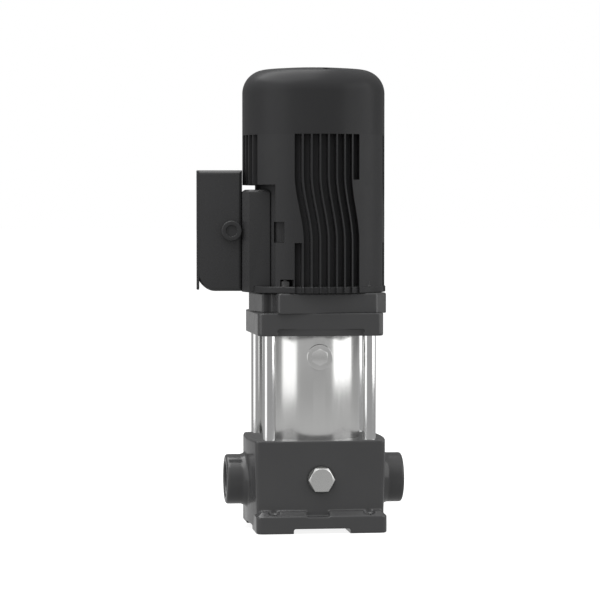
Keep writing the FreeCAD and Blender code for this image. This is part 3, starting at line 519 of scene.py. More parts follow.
def bulgedOutline(corner, bulge, radius, steps=14):
    sides = []
    ends = quarters(*corner)
    middles = [(0, bulge[1]), (-bulge[0], 0), (0, -bulge[1]), (bulge[0], 0)]
    for index, middle in enumerate(middles):
        start, end = Vector(ends[index]), Vector(ends[(index + 1) % 4])
        chord = (end - start).length
        centreLine = (start + end) / 2
        rise = (Vector(middle) - centreLine).length
        reach = chord * chord / 8 / rise + rise / 2
        outward = (Vector(middle) - centreLine).normalized()
        centre = Vector(middle) - outward * reach
        for step in range(1, steps):
            sides.append(tuple(centre + slerp(start - centre, end - centre, step / steps)))
        sides.append(tuple(end))
    radii = [radius if (index + 1) % steps == 0 else 0 for index in range(len(sides))]
    clear = []   # points nearer a corner than its rounding are left out
    for index, point in enumerate(sides):
        near = min((Vector(point) - Vector(end)).length for end in ends)
        if radii[index] or near > radius * 1.5:
            clear.append((point, radii[index]))
    return roundCorners([point for point, _ in clear], [r for _, r in clear])


def makeBase():
    size = baseSizes
    top, face, portHeight = size["top"], size["portFace"], size["portHeight"]
    halfX, halfY, corner = size["foot"]
    slopeIn, slopeRise = size["slope"]
    archHalf, archTop, archEdge = size["arch"]
    footLevels = [*size["footEdge"], (size["footHeight"], 0), (size["footHeight"] + slopeRise, slopeIn)]
    foot = stacked(rectangle(halfX, halfY, corner), footLevels)
    bend, draft = size["draft"]
    body = stacked(bulgedOutline(size["corner"], size["bulge"], size["cornerRadius"]),
                   [(archTop + 1, 0)] + rimLevels(bend, top, 0, size["topEdge"]))
    for point in body.verts:   # the sides draw in under the ports
        point.co.x *= draft if point.co.z < bend - 1 else 1
    portRadius = size["portRadius"]
    neck, neckEnd, portStart = size["portNeck"]
    rim = roundCorners([(portRadius, 70), (portRadius, face), (0.01, face)], [0, size["portEdge"], 0])
    port = [(0, 60), (neck, 60), (neck, neckEnd), (portRadius, portStart)] + rim[1:-1] + [(0, face)]
    bosses = [moved(lathe(port), side, at(z=portHeight)) for side in (toLeft, toRight)]
    boltX, boltY, _ = size["bolt"]
    spotRadius, spotHeight = size["spotface"]
    piece = toObject(foot, "baseCasting")
    carved(piece, fourPins(spotHeight, 45, boltX, boltY, spotRadius))
    carved(piece, body, *bosses, operation="UNION")
    bore, boreEnd, edge = size["bore"], face - size["boreDepth"], size["boreEdge"]
    duct, ductEnd = size["duct"]
    mouth = [(0, ductEnd), (duct, ductEnd), (duct, boreEnd), (bore, boreEnd), (bore, face + 1 - edge),
             (bore + edge, face + 1), (0, face + 1)]
    cuts = [moved(lathe(mouth), side, at(z=portHeight)) for side in (toLeft, toRight)]
    for halfWide, halfLong in ((archHalf, 120), (120, archHalf)):
        cuts.append(stacked(rectangle(halfWide, halfLong, 0), rimLevels(-5, archTop, 0, archEdge)))
    chamber, chamberLow = size["chamber"]
    inner, outer, channelLow = size["channel"]
    cuts.append(lathe([(0, chamberLow), (chamber, chamberLow), (chamber, 110), (0, 110)]))
    cuts.append(lathe([(inner, channelLow), (outer, channelLow), (outer, 110), (inner, 110)]))
    rodX, rodY, _ = size["rod"]
    pocketRadius, pocketTop = size["pocket"]
    cuts.append(fourPins(-1, 40, *size["bolt"]))
    cuts.append(fourPins(-1, pocketTop, rodX, rodY, pocketRadius))
    cuts.append(fourPins(pocketTop - 1, top - size["rodCeiling"], *size["rod"]))
    left, right, floor, ceiling = size["middle"]
    cuts.append(box(left, right, -90, -size["bulge"][1] - 0.2, floor, ceiling))
    hole, seat, drainFace = size["drainHole"], size["drainSeat"], size["drainFace"]
    drain = lathe([(0, ductEnd), (hole, ductEnd), (hole, drainFace), (seat, drainFace), (seat, 80), (0, 80)])
    cuts.append(moved(drain, toFront, at(z=size["drainHeight"])))
    carved(piece, *cuts)
    castSkin(piece, *size["skin"])
    finishPiece(piece, "castPaint", "pump_body", ["base_casting"], keepShading=True)


makeBase()
print("base casting ready")


# Arrays made with Geometry Nodes

def startTree(name, inputs):
    tree = bpy.data.node_groups.new(name, "GeometryNodeTree")
    tree.interface.new_socket("Geometry", in_out="INPUT", socket_type="NodeSocketGeometry")
    for label, kind in inputs.items():
        tree.interface.new_socket(label, in_out="INPUT", socket_type="NodeSocket" + kind)
    tree.interface.new_socket("Geometry", in_out="OUTPUT", socket_type="NodeSocketGeometry")
    return tree, addNode(tree, "NodeGroupInput").outputs


def endTree(tree, geometry, finish):
    whole = addNode(tree, "GeometryNodeRealizeInstances", {0: geometry})
    painted = addNode(tree, "GeometryNodeSetMaterial", {"Geometry": whole.outputs[0], "Material": finish})
    addNode(tree, "NodeGroupOutput", {0: painted.outputs[0]})
    return tree


def runTree(piece, tree, values):
    step = piece.modifiers.new(tree.name, "NODES")
    step.node_group = tree
    for item in tree.interface.items_tree:
        if item.in_out == "INPUT" and item.name in values:
            step[item.identifier] = values[item.name]
    return settle(piece)


def maths(tree, operation, *values):
    return addNode(tree, "ShaderNodeMath", dict(enumerate(values)), operation=operation).outputs[0]


def vector(tree, x=0.0, y=0.0, z=0.0):
    return addNode(tree, "ShaderNodeCombineXYZ", {0: x, 1: y, 2: z}).outputs[0]


def turnedCopies(tree, geometry, count, start):
    stack = addNode(tree, "GeometryNodeMeshLine", {"Count": count, "Offset": (0, 0, 0)})
    step = maths(tree, "DIVIDE", 2 * math.pi, count)
    index = addNode(tree, "GeometryNodeInputIndex").outputs[0]
    turn = vector(tree, z=maths(tree, "MULTIPLY_ADD", index, step, start))
    return addNode(tree, "GeometryNodeInstanceOnPoints",
                   {"Points": stack.outputs[0], "Instance": geometry, "Rotation": turn}).outputs[0]


def makeRingTree():
    tree, given = startTree("ringOfCopies", {"Count": "Int", "Start": "Float", "Finish": "Material"})
    copies = turnedCopies(tree, given["Geometry"], given["Count"], given["Start"])
    return endTree(tree, copies, given["Finish"])


def makeQuarterTree():
    tree, given = startTree("fourCopies", {"Half X": "Float", "Half Y": "Float", "Finish": "Material"})
    corners = addNode(tree, "GeometryNodeMeshGrid",
                      {"Size X": maths(tree, "MULTIPLY", given["Half X"], 2.0),
                       "Size Y": maths(tree, "MULTIPLY", given["Half Y"], 2.0),
                       "Vertices X": 2, "Vertices Y": 2})
    copies = addNode(tree, "GeometryNodeInstanceOnPoints",
                     {"Points": corners.outputs[0], "Instance": given["Geometry"]})
    return endTree(tree, copies.outputs[0], given["Finish"])


ringTree, quarterTree = makeRingTree(), makeQuarterTree()


def ringOf(piece, count, startDegrees, finish):
    values = {"Count": count, "Start": math.radians(startDegrees), "Finish": finishes[finish]}
    return runTree(piece, ringTree, values)


def fourOf(piece, halfX, halfY, finish):
    values = {"Half X": halfX * mm, "Half Y": halfY * mm, "Finish": finishes[finish]}
    return runTree(piece, quarterTree, values)


def turnPiece(piece, matrix):
    piece.data.transform(matrix)


# Jacket and tie rods

jacketSizes = {
    "radius": 53.0, "wall": 1.5, "edge": 0.4, "low": 97.4, "high": 227.4,
    "ventHeight": 197.0, "ventHole": 6.6,
}
rodSizes = {
    "place": (58.7, 54.5), "radius": 7.3, "low": 32.0, "high": 232.4, "edge": 0.6,
    "stud": (5.0, 20.7, 0.5),   # radius, low end, edge
    "frontShift": (1.8, 90.0),   # how far, from what height
}


def makeJacket():
    size = jacketSizes
    low, high = size["low"], size["high"]
    outer, inner = size["radius"], size["radius"] - size["wall"]
    wall = roundCorners([(inner, low), (outer, low), (outer, high), (inner, high)], size["edge"], 3)
    piece = toObject(lathe(wall, 192), "jacketTube")
    carved(piece, moved(pin(size["ventHole"], 20, 60), toFront, at(z=size["ventHeight"])))
    finishPiece(piece, "polishedSteel", "pump_body", ["jacket"])


def makeRods():
    size = rodSizes
    radius, low, high, edge = size["radius"], size["low"], size["high"], size["edge"]
    stud, studLow, studEdge = size["stud"]
    shift, start = size["frontShift"]
    outline = [(0, studLow), (stud - studEdge, studLow), (stud, studLow + studEdge), (stud, low),
               (radius - edge, low), (radius, low + edge), (radius, start), (radius, high), (0, high)]
    piece = fourOf(toObject(lathe(outline, 96), "tieRods"), *size["place"], "rodSteel")
    for point in piece.data.vertices:   # where they show, the front rods stand a little nearer the middle
        if point.co.y < 0 and point.co.z > (start - 1) * mm:
            point.co.x -= math.copysign(shift * mm, point.co.x)
    piece.visible_glossy = False   # the jacket shows the studio, not the rods
    finishPiece(piece, "rodSteel", "pump_body", ["tie_rods"])


makeJacket()
makeRods()
print("jacket and tie rods ready")


# Pump head and motor flange

headSizes = {
    "half": 71.3, "corner": 8.0, "low": 221.4, "high": 247.2,
    "edges": (1.5, 0.9),   # lower, upper
    "collarHeight": 7.5, "collarHalf": 49.5, "gapEdge": 2.5,
    "collarCurve": (67.4, 70.4),   # half depth at its corners, in the middle
    "sealBore": (17.0, 2.2), "throat": 13.0,   # radius, wall above it
    "rodHole": (7.15, 11.0),   # radius, depth
    "bolt": (46.5, 60.5, 3.05), "boltDepth": 8.2,   # x, y, radius
    "skin": (0.9, 3, 0.35),
}
flangeSizes = {
    "half": 70.0, "flat": 56.5, "side": 71.5, "corner": 3.0, "edge": 1.6,
    "lug": (68.3, 38.0),   # left lug's reach, half width
    "low": 247.2, "high": 269.6, "seam": 0.8, "room": 20.5,
    "bearing": (23.55, 262.0), "boss": (29.0, 278.0),   # radius, floor or top
    "spigot": (58.0, 61.9, 5.4),   # inner and outer radius, rise
    "skin": (1.0, 2, 0.35),
}


def makeHead():
    size = headSizes
    half, low, high = size["half"], size["low"], size["high"]
    block = stacked(rectangle(half, half, size["corner"]), rimLevels(low, high, *size["edges"]))
    piece = toObject(block, "pumpHead")
    reach, step = size["collarHalf"], low + size["collarHeight"]
    gaps = toObject(stacked(rectangle(reach, 90, 0), rimLevels(low - 10, step, 0, size["gapEdge"])), "gaps")
    side, front = size["collarCurve"]
    collar = bulgedOutline((reach + 5, side), (reach + 8, front), 0.5)
    carved(gaps, stacked(collar, [(low - 20, 0), (high, 0)]))
    bore, roof = size["sealBore"]
    throat = size["throat"]
    passage = lathe([(0, low - 1), (bore, low - 1), (bore, high - roof),
                     (throat, high - roof), (throat, high + 1), (0, high + 1)])
    radius, depth = size["rodHole"]
    sockets = fourPins(low - 1, low + depth, *rodSizes["place"], radius)
    tapped = fourPins(high - size["boltDepth"], high + 1, *size["bolt"])
    carved(piece, backToShape(gaps), passage, sockets, moved(tapped, motorTurn))
    castSkin(piece, *size["skin"])
    finishPiece(piece, "castPaint", "pump_body", ["pump_head"], keepShading=True)


def makeFlange():
    size = flangeSizes
    half, flat, low, high = size["half"], size["flat"], size["low"], size["high"]
    side, (reach, lug) = size["side"], size["lug"]
    corners = [(side, -flat), (side, flat), (flat, half), (-flat, half), (-flat, lug), (-reach, lug),
               (-reach, -lug), (-flat, -lug), (-flat, -half), (flat, -half)]
    outline = roundCorners(corners, size["corner"], 4)
    piece = toObject(stacked(outline, rimLevels(low - size["seam"], high, 0, size["edge"])), "motorFlange")
    bearing, bearingLow = size["bearing"]
    bossRadius, bossTop = size["boss"]
    boss = lathe([(bearing, low + 2), (bossRadius, low + 2), (bossRadius, bossTop), (bearing, bossTop)])
    inner, outer, rise = size["spigot"]
    spigot = lathe([(inner, high - 2), (outer, high - 2), (outer, high + rise), (inner, high + rise)], 128)
    carved(piece, boss, spigot, operation="UNION")
    room = size["room"]
    bore = lathe([(0, low - 1), (room, low - 1), (room, bearingLow), (bearing, bearingLow),
                  (bearing, bossTop + 12), (0, bossTop + 12)])
    carved(piece, bore, fourPins(low - 1, high + 1, *headSizes["bolt"]))
    turnPiece(piece, motorTurn)
    castSkin(piece, *size["skin"])
    finishPiece(piece, "castPaint", "pump_body", ["motor_flange"], keepShading=True)


makeHead()
makeFlange()
print("head and flange ready")


# Motor frame with its waved cooling channels

frameSizes = {
    "outer": 81.5, "core": 67.0, "bore": 62.0, "low": 269.6, "rimTop": 277.0, "high": 448.0,
    "rim": 83.0, "rimInside": 79.6,
    "rimEdge": (82.0, 82.7, 0.7, 1.2),   # radius at its foot, above, two slopes
    "recess": (-45.4, 70.0, 391.5),   # terminal box: edge, half width, top
    "notch": (-35.4, 326.0, 349.6, 64.4),   # edge, low, high, radius of its floor
    "pocket": (39.5, 53.0, 54.0, 8.0),   # bolts: near, far, inside, height
    "boltDepth": 9.0, "cable": (9.5, 339.4),   # radius, height
}
channelSizes = {   # lengths in metres, as the tree reads them
    "Pitch": 0.0095, "Width": 0.0078, "Count": 7, "Shift": -0.0016, "Core": 0.0732, "Depth": 0.032,
    "Low": 0.260, "High": 0.449, "Wave Top": 0.403, "Wave Bottom": 0.327,
    "Short Top End": 0.397, "Short Bottom End": 0.326, "Side Bottom": 0.3905,
}
rootShare = 0.86   # the cutters start inside the core, which the drum then keeps whole


def makeChannelTree():
    kinds = {label: "Int" if label == "Count" else "Float" for label in channelSizes}
    tree, given = startTree("coolingChannels", {**kinds, "Finish": "Material"})

    def channel(low, high, levels=2):
        size = vector(tree, given["Width"], given["Depth"], maths(tree, "SUBTRACT", high, low))
        middle = maths(tree, "MULTIPLY", maths(tree, "ADD", high, low), 0.5)
        root = maths(tree, "MULTIPLY", given["Core"], -rootShare)
        place = vector(tree, 0.0, maths(tree, "MULTIPLY_ADD", given["Depth"], -0.5, root), middle)
        bar = addNode(tree, "GeometryNodeMeshCube", {"Size": size, "Vertices Z": levels})
        return addNode(tree, "GeometryNodeTransform",
                       {"Geometry": bar.outputs[0], "Translation": place}).outputs[0]

    def row(bar, count, start):
        start, offset = vector(tree, start), vector(tree, given["Pitch"])
        line = addNode(tree, "GeometryNodeMeshLine",
                       {"Count": count, "Start Location": start, "Offset": offset})
        placed = addNode(tree, "GeometryNodeInstanceOnPoints", {"Points": line.outputs[0], "Instance": bar})
        return addNode(tree, "GeometryNodeRealizeInstances", {0: placed.outputs[0]}).outputs[0]

    def cut(body, tool):
        return addNode(tree, "GeometryNodeMeshBoolean", {"Mesh 1": body, "Mesh 2": tool},
                       operation="DIFFERENCE", solver="EXACT").outputs[0]

    def joined(*parts):
        node = addNode(tree, "GeometryNodeJoinGeometry")
        for part in parts:
            tree.links.new(part, node.inputs[0])
        return node.outputs[0]

    half = maths(tree, "MULTIPLY", given["Pitch"], maths(tree, "MULTIPLY", given["Count"], 0.5))
    first = maths(tree, "SUBTRACT", given["Shift"], half)
    straight = row(channel(given["Low"], given["High"], 90), given["Count"], first)
    place = addNode(tree, "GeometryNodeInputPosition").outputs[0]
    height = addNode(tree, "ShaderNodeSeparateXYZ", {0: place}).outputs[2]
    slide = addNode(tree, "ShaderNodeMapRange",
                    {"Value": height, "From Min": given["Wave Top"], "From Max": given["Wave Bottom"],
                     "To Min": 0.0, "To Max": given["Pitch"]}, interpolation_type="SMOOTHSTEP").outputs[0]
    waved = addNode(tree, "GeometryNodeSetPosition",
                    {"Geometry": straight, "Offset": vector(tree, slide)}).outputs[0]
    last = maths(tree, "MULTIPLY_ADD", given["Pitch"], given["Count"], first)
    shortTop = row(channel(given["Short Top End"], given["High"]), 1, last)
    shortBottom = row(channel(given["Low"], given["Short Bottom End"]), 1, first)
    group = joined(waved, shortTop, shortBottom)
    three = addNode(tree, "GeometryNodeMeshLine", {"Count": 3, "Offset": (0, 0, 0)})
    index = addNode(tree, "GeometryNodeInputIndex").outputs[0]
    turn = vector(tree, 0.0, 0.0, maths(tree, "MULTIPLY", index, math.pi / 2))
    groups = addNode(tree, "GeometryNodeInstanceOnPoints",
                     {"Points": three.outputs[0], "Instance": group, "Rotation": turn}).outputs[0]
    side = row(channel(given["Side Bottom"], given["High"]), maths(tree, "ADD", given["Count"], 1.0), first)
    side = addNode(tree, "GeometryNodeTransform",
                   {"Geometry": side, "Rotation": (0, 0, -math.pi / 2)}).outputs[0]
    bars = addNode(tree, "GeometryNodeRealizeInstances", {0: joined(groups, side)}).outputs[0]
    drum = addNode(tree, "GeometryNodeMeshCylinder",
                   {"Vertices": 256, "Radius": given["Core"], "Depth": 2.0}, fill_type="NGON").outputs[0]
    return endTree(tree, cut(given["Geometry"], cut(bars, drum)), given["Finish"])


def outsideCore(shape, core=frameSizes["core"]):
    cutter = toObject(shape, "cutter")
    carved(cutter, pin(core, 0, 600, segments=256))
    return backToShape(cutter)


def boltPockets(low):
    near, far, inside, depth = frameSizes["pocket"]
    ends = [(-far, -near), (near, far)]
    sides = [(-90, -inside), (inside, 90)]
    return [box(*across, *along, low, low + depth) for across in ends for along in sides
            if across[0] < 0 or along[0] > 0]   # the photo shows none at the front right


def makeMotorFrame():
    size = frameSizes
    start, low, top = size["low"], size["rimTop"], size["high"]
    outer, bore, inside = size["outer"], size["bore"], size["rimInside"]
    foot, rim, lower, slope = size["rimEdge"]
    shell = lathe([(bore, start), (foot, start), (rim, start + lower), (rim, low - slope), (outer, low),
                   (outer, top), (bore, top)], 256)
    piece = toObject(shell, "motorFrame")
    runTree(piece, makeChannelTree(), {**channelSizes, "Finish": finishes["motorPaint"]})
    carved(piece, outsideCore(merged(*boltPockets(low))))
    turnPiece(piece, motorTurn)
    edge, half, recessTop = size["recess"]
    recess = outsideCore(moved(box(-180, edge, -half, half, low, recessTop), boxTurn))
    notchEdge, notchLow, notchHigh, notchCore = size["notch"]
    notch = outsideCore(moved(box(edge - 1, notchEdge, -180, 0, notchLow, notchHigh), boxTurn), notchCore)
    cable, cableHeight = size["cable"]
    hole = moved(pin(cable, 0, 140), toLeft, at(z=cableHeight), boxTurn)
    carved(piece, recess, notch, hole)
    # between the fins the rim lies a little back
    band = roundCorners([(bore, start), (inside, start), (inside, low), (bore, low)], [0, 0, 1.0, 0], 4)
    carved(piece, lathe(band, 256), operation="UNION")
    holes = fourPins(low - size["boltDepth"], low + 1, *headSizes["bolt"])
    carved(piece, moved(holes, motorTurn))
    finishPiece(piece, "motorPaint", "pump_body", ["motor_frame"], sharp=28)


makeMotorFrame()
print("motor frame ready")


# Fan cowl

cowlSizes = {
    "radius": 81.5, "wall": 2.0, "low": 448.0, "corner": 27.0, "shoulder": 523.0, "crown": 2.5,
    "slots": 24, "slot": (20.0, 50.0, 3.2), "slotLow": 490.0,   # from, to, width
    "screwCircle": 60.5, "seat": 513.0, "hole": 2.6, "recess": 4.3,
    "post": (5.0, 456.0, 3.0),   # radius, low end, drop from the shoulder
}


def cowlLine(inward, cornerSteps=24, crownSteps=12):
    size = cowlSizes
    shoulder = size["shoulder"]
    centre, corner = size["radius"] - size["corner"], size["corner"] - inward
    line = [(size["radius"] - inward, size["low"])]
    for step in range(cornerSteps + 1):
        turn = math.pi / 2 * step / cornerSteps
        height = shoulder - size["corner"] + corner * math.sin(turn)
        line.append((centre + corner * math.cos(turn), height))
    for step in range(1, crownSteps + 1):
        share = 1 - step / crownSteps
        line.append((centre * share, shoulder - inward + size["crown"] * (1 - share * share)))
    return line


def makeCowl():
    size = cowlSizes
    piece = toObject(lathe(cowlLine(0) + cowlLine(size["wall"])[::-1], 256), "fanCowl")
    circle, seat, hole, recess = size["screwCircle"], size["seat"], size["hole"], size["recess"]
    below, above = size["low"] - 8, size["shoulder"] + 17
    postRadius, postLow, drop = size["post"]
    post = pin(postRadius, postLow, size["shoulder"] - drop, circle)
    inner, outer, width = size["slot"]
    half = width / 2
    ends = roundCorners([(inner, -half), (outer, -half), (outer, half), (inner, half)], width / 2.1, 4)
    slot = stacked(ends, [(size["slotLow"], 0), (above, 0)])
    well = lathe([(0, below), (hole, below), (hole, seat), (recess, seat), (recess, above), (0, above)], 48)
    posts = ringOf(toObject(post, "posts"), 4, 0, "cowlPaint")
    slots = ringOf(toObject(slot, "slots"), size["slots"], 180 / size["slots"], "cowlPaint")
    wells = ringOf(toObject(moved(well, at(circle)), "wells"), 4, 0, "cowlPaint")
    carvedWith(piece, [slots])
    carvedWith(piece, [posts], "UNION")
    carvedWith(piece, [wells])
    turnPiece(piece, motorTurn)
    finishPiece(piece, "cowlPaint", "pump_body", ["fan_cowl"], sharp=30)


makeCowl()
print("cowl ready")


# Terminal box

boxSizes = {
    "face": -130.9, "joint": -82.1, "half": 35.0, "low": 271.0, "high": 408.0, "wall": 3.5,
    "edge": 5.2, "beyond": 6.0, "topCorner": 6.0, "gap": 0.1, "wires": 9.5,
    "sweep": (24.0, 34.0),   # lower corner: width, height
    "mouth": (27.0, 311.0, 398.0),   # half width, low, high
    "entry": (-94.0, 339.4, 8.1),   # x, z, radius
    "adapter": (-51.0, 46.0, 271.0, 386.0),   # inner end, half width, low, high
    "adapterEdges": (1.0, 4.2), "bevel": (8.0, 10.5),   # lower and upper; along, deep
    "cover": (3.0, 272.6, 408.0),   # thickness, low, high
    "coverEdges": (2.5, 0.3, 0.9),   # corner, back, front
    "screw": (27.0, 322.0, 396.0, 2.05, 14.0),   # side, low, high, radius, length
}


def boxOutline(beyond, steps=16):
    size = boxSizes
    left, right, low, high = size["face"] - beyond, size["joint"], size["low"], size["high"]
    wide, tall = size["sweep"]
    corner, handle = size["topCorner"], 0.5523   # this handle makes a curve a quarter round
    start, end = Vector((left + wide, low)), Vector((left, low + tall))
    first, second = Vector((left + wide * (1 - handle), low)), Vector((left, low + tall * (1 - handle)))
    sweep = []
    for step in range(steps + 1):
        t = step / steps
        rest = 1 - t
        point = start * rest ** 3 + first * 3 * t * rest ** 2 + second * 3 * t * t * rest + end * t ** 3
        sweep.append(tuple(point))
    ends = [(left, high - corner * 3), (left, high), (left + corner * 3, high)]
    top = roundCorners(ends, [0, corner, 0], 8)
    return ([(right, low)] + sweep + top + [(right, high)])[::-1]


def makeHousing():
    size = boxSizes
    face, half, wall, gap = size["face"], size["half"], size["wall"], size["gap"]
    shell = stacked(boxOutline(size["beyond"]), rimLevels(-half, half, size["edge"], size["edge"], 6))
    piece = toObject(moved(shell, toFront), "terminalHousing")
    front = box(face - 20, face, -half - 5, half + 5, size["low"] - 5, size["high"] + 5)
    inner = [tuple(point) for point in inset(boxOutline(0), wall)]
    room = moved(stacked(inner, [(wall - half, 0), (half - wall, 0)]), toFront)
    mouthHalf, mouthLow, mouthHigh = size["mouth"]
    mouth = box(face - 2, face + wall + 2, -mouthHalf, mouthHalf, mouthLow, mouthHigh)
    entryX, entryZ, entryRadius = size["entry"]
    entry = moved(pin(entryRadius, 20, 60), toFront, at(entryX, 0, entryZ))
    wires = moved(pin(size["wires"], 70, 100), toLeft, at(z=entryZ))
    rim = pin(frameSizes["rim"] + gap, 260, frameSizes["rimTop"] + gap, segments=192)
    carved(piece, front)
    carved(piece, room, mouth, entry, wires, rim)
    turnPiece(piece, boxTurn)
    finishPiece(piece, "boxPaint", "pump_body", ["terminal_housing"], sharp=30)


def makeAdapter():
    size = boxSizes
    inner, half, low, high = size["adapter"]
    joint, wall, gap = size["joint"], size["wall"], size["gap"]
    along, deep = size["bevel"]
    outline = [(joint, deep - half), (joint + along, -half), (inner, -half), (inner, half),
               (joint + along, half), (joint, half - deep)]
    piece = toObject(stacked(outline, rimLevels(low, high, *size["adapterEdges"])), "terminalAdapter")
    roomHalf = half - deep - wall
    room = box(joint + wall, inner + 1, -roomHalf, roomHalf, low + 2 * wall, high - 2 * wall)
    wires = moved(pin(size["wires"], 0, 90), toLeft, at(z=size["entry"][1]))
    rim, core, rimTop = frameSizes["rim"] + gap, frameSizes["core"] + gap, frameSizes["rimTop"]
    clear = lathe([(0, low - 2), (rim, low - 2), (rim, rimTop), (core, rimTop), (core, 400), (0, 400)], 256)
    carved(piece, room, wires, clear)
    turnPiece(piece, boxTurn)
    carved(piece, moved(merged(*boltPockets(rimTop)), motorTurn))
    finishPiece(piece, "boxPaint", "pump_body", ["terminal_adapter"], sharp=30)


def screwHead(radius, depth, slotWidth=1.1, slotDepth=1.2):
    head = lathe([(0, -1), (radius, -1), (2 * radius, depth - 0.35), (2 * radius - 0.1, depth - 0.1),
                  (1.4 * radius, depth + 0.05), (0, depth + 0.1)], 40)
    piece = toObject(head, "head")
    reach, half, floor = 1.35 * radius, slotWidth / 2, depth - slotDepth
    carved(piece, box(-reach, reach, -half, half, floor, depth + 1),
           box(-half, half, -reach, reach, floor, depth + 1))
    return backToShape(piece)


def makeCover():
    size = boxSizes
    half, face = size["half"], size["face"]
    thick, low, high = size["cover"]
    corner, back, front = size["coverEdges"]
    plate = stacked(rectangle((high - low) / 2, half, corner, 5), rimLevels(0, thick, back, front))
    piece = toObject(moved(plate, toLeft, at(face, 0, (low + high) / 2)), "terminalCover")
    sideY, lowZ, highZ, radius, length = size["screw"]
    sink = [(0, -length), (radius, -length), (radius, 1), (2 * radius, thick), (2 * radius, thick + 1),
            (0, thick + 1)]
    sinks = [moved(lathe(sink, 48), toLeft, at(face, y, z)) for y in (-sideY, sideY) for z in (lowZ, highZ)]
    carved(piece, merged(*sinks))
    turnPiece(piece, boxTurn)
    finishPiece(piece, "boxPaint", "pump_body", ["terminal_cover"], sharp=30)
    screw = merged(screwHead(radius - 0.1, thick - 0.3), pin(radius - 0.2, 1 - length, 0))
    screws = fourOf(toObject(screw, "coverScrews"), (highZ - lowZ) / 2, sideY, "brightSteel")
    turnPiece(screws, boxTurn @ at(face * mm, 0, (lowZ + highZ) / 2 * mm) @ toLeft)
    finishPiece(screws, "brightSteel", "pump_body", ["cover_screws"])


glandSizes = {
    "radius": 11.6, "height": 6.0, "mouth": 6.5, "recess": 2.6, "thread": 8.0, "reach": 6.0,
    "edges": (0, 0.5, 0, 0.3, 1.4, 0.6, 0.4, 0),
}


def makeGland():
    size, half = glandSizes, boxSizes["half"]
    thread, radius, mouth = size["thread"], size["radius"], size["mouth"]
    low, top = half - size["reach"], half + size["height"]
    floor = top - size["recess"]   # a blanking disc closes the unused entry
    corners = [(0, low), (thread, low), (thread, half), (radius, half), (radius, top), (mouth, top),
               (mouth, floor), (0, floor)]
    gland = lathe(roundCorners(corners, size["edges"], 5), 128)
    entryX, entryZ, _ = boxSizes["entry"]
    piece = toObject(moved(gland, toFront, at(entryX, 0, entryZ), boxTurn), "cableGland")
    finishPiece(piece, "blackPlastic", "pump_body", ["gland_body"], sharp=40)


makeHousing()
makeAdapter()
makeCover()
makeGland()
print("terminal box ready")


# Plugs and bolts

plugSizes = {
    "drain": {
        "height": 60.0, "thread": 10.3, "pitch": 1.814, "threadDepth": 0.9, "low": 55.6, "seat": 70.1,
        "head": 6.5, "flats": 26.0, "bevel": 0.8,
    },
    "vent": {
        "height": 197.0, "thread": 6.5, "pitch": 1.337, "threadDepth": 0.7, "low": 46.5, "seat": 55.94,
        "head": 1.0, "flats": 17.0, "flange": (14.7, 3.0, 0.3, 1.1),   # radius, height, edges
    },
}
boltSizes = {"flats": 10.0, "head": 6.0, "radius": 3.0, "low": 240.0, "end": 7.5, "washer": (6.0, 0.8)}


def hexHead(flats, low, high, turn=0.0, bevel=0.58):
    corner = flats / 2 / math.cos(math.pi / 6)
    drop = (corner - flats / 2) * bevel
    dome = [(0, low), (corner + 0.1, low), (corner + 0.1, high - drop), (flats / 2 * 0.95, high), (0, high)]
    piece = toObject(stacked(hexagon(flats, turn), [(low, 0), (high + 1, 0)]), "head")
    carved(piece, lathe(dome, 96), operation="INTERSECT")
    return backToShape(piece)


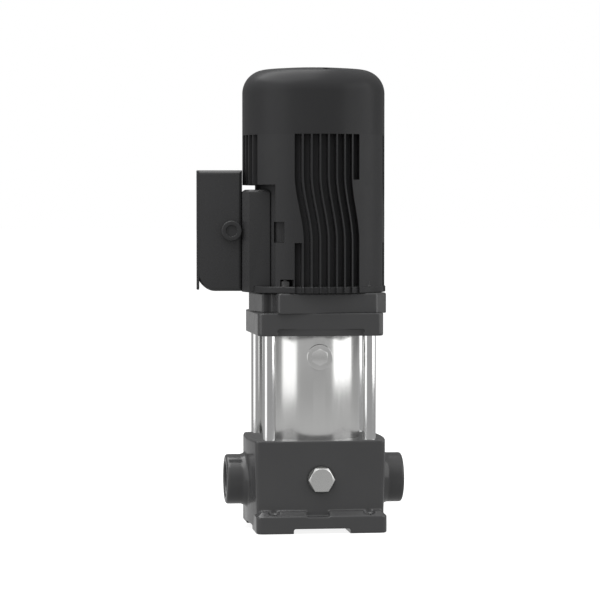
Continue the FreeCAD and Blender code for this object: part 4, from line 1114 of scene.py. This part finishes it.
def plugThread(size, neckTop):
    radius, low, seat, pitch = size["thread"], size["low"], size["seat"], size["pitch"]
    root, end = radius - size["threadDepth"], seat - 1
    outline = [(0, low)]
    for level in range(int((end - low) / pitch)):
        base = low + level * pitch
        outline += [(root, base), (radius, base + pitch * 0.35), (radius, base + pitch * 0.6)]
    outline += [(root, end), (0, end)]
    return lathe(outline, 64), pin(root, seat - 1.2, seat + neckTop, segments=64)


def makePlugs():
    size = plugSizes["drain"]
    seat = size["seat"]
    head = hexHead(size["flats"], seat, seat + size["head"], bevel=size["bevel"])
    drain = merged(head, *plugThread(size, 1))
    piece = toObject(moved(drain, toFront, at(z=size["height"])), "drainPlug")
    finishPiece(piece, "brightSteel", "drain_plug", ["drain_plug"], sharp=25)
    size = plugSizes["vent"]
    seat = size["seat"]
    radius, thick, lower, upper = size["flange"]
    corners = [(0, seat), (radius, seat), (radius, seat + thick), (0, seat + thick)]
    flange = lathe(roundCorners(corners, [0, lower, upper, 0], 5), 128)
    head = hexHead(size["flats"], seat + thick - 0.5, seat + thick + size["head"], 30)
    vent = merged(flange, head, *plugThread(size, 0.5))
    piece = toObject(moved(vent, toFront, at(z=size["height"])), "ventPlug")
    finishPiece(piece, "polishedSteel", "vent_plug", ["vent_plug"], sharp=25)


def makeFlangeBolts():
    size, seat = boltSizes, frameSizes["rimTop"]
    radius, low, end = size["radius"], size["low"], seat + size["end"]
    wide, thick = size["washer"]
    washer = roundCorners([(radius, seat), (wide, seat), (wide, seat + thick), (radius, seat + thick)],
                          [0, 0, 0.3, 0], 3)
    stud = roundCorners([(0, low), (radius, low), (radius, end), (0, end)], [0, 0.4, 0.6, 0], 3)
    nut = hexHead(size["flats"], seat + thick, seat + size["head"])
    boltX, boltY, _ = headSizes["bolt"]
    piece = fourOf(toObject(merged(nut, lathe(washer, 48), lathe(stud, 40)), "flangeBolts"),
                   boltX, boltY, "darkSteel")
    turnPiece(piece, motorTurn)
    finishPiece(piece, "darkSteel", "pump_body", ["flange_bolts"], sharp=25)


makePlugs()
makeFlangeBolts()
print("plugs and bolts ready")


# The CAD nodes that stay in view or inside keep their shape and take a finish

finishOf = {slot: finish for finish, slot in slotOf.items()}
for part in frame["record"]["subparts"]:
    node = nodes[part["node"]]
    node.data.materials.clear()
    node.data.materials.append(finishes[finishOf[part["material_slot"]]])
print("inner parts ready")
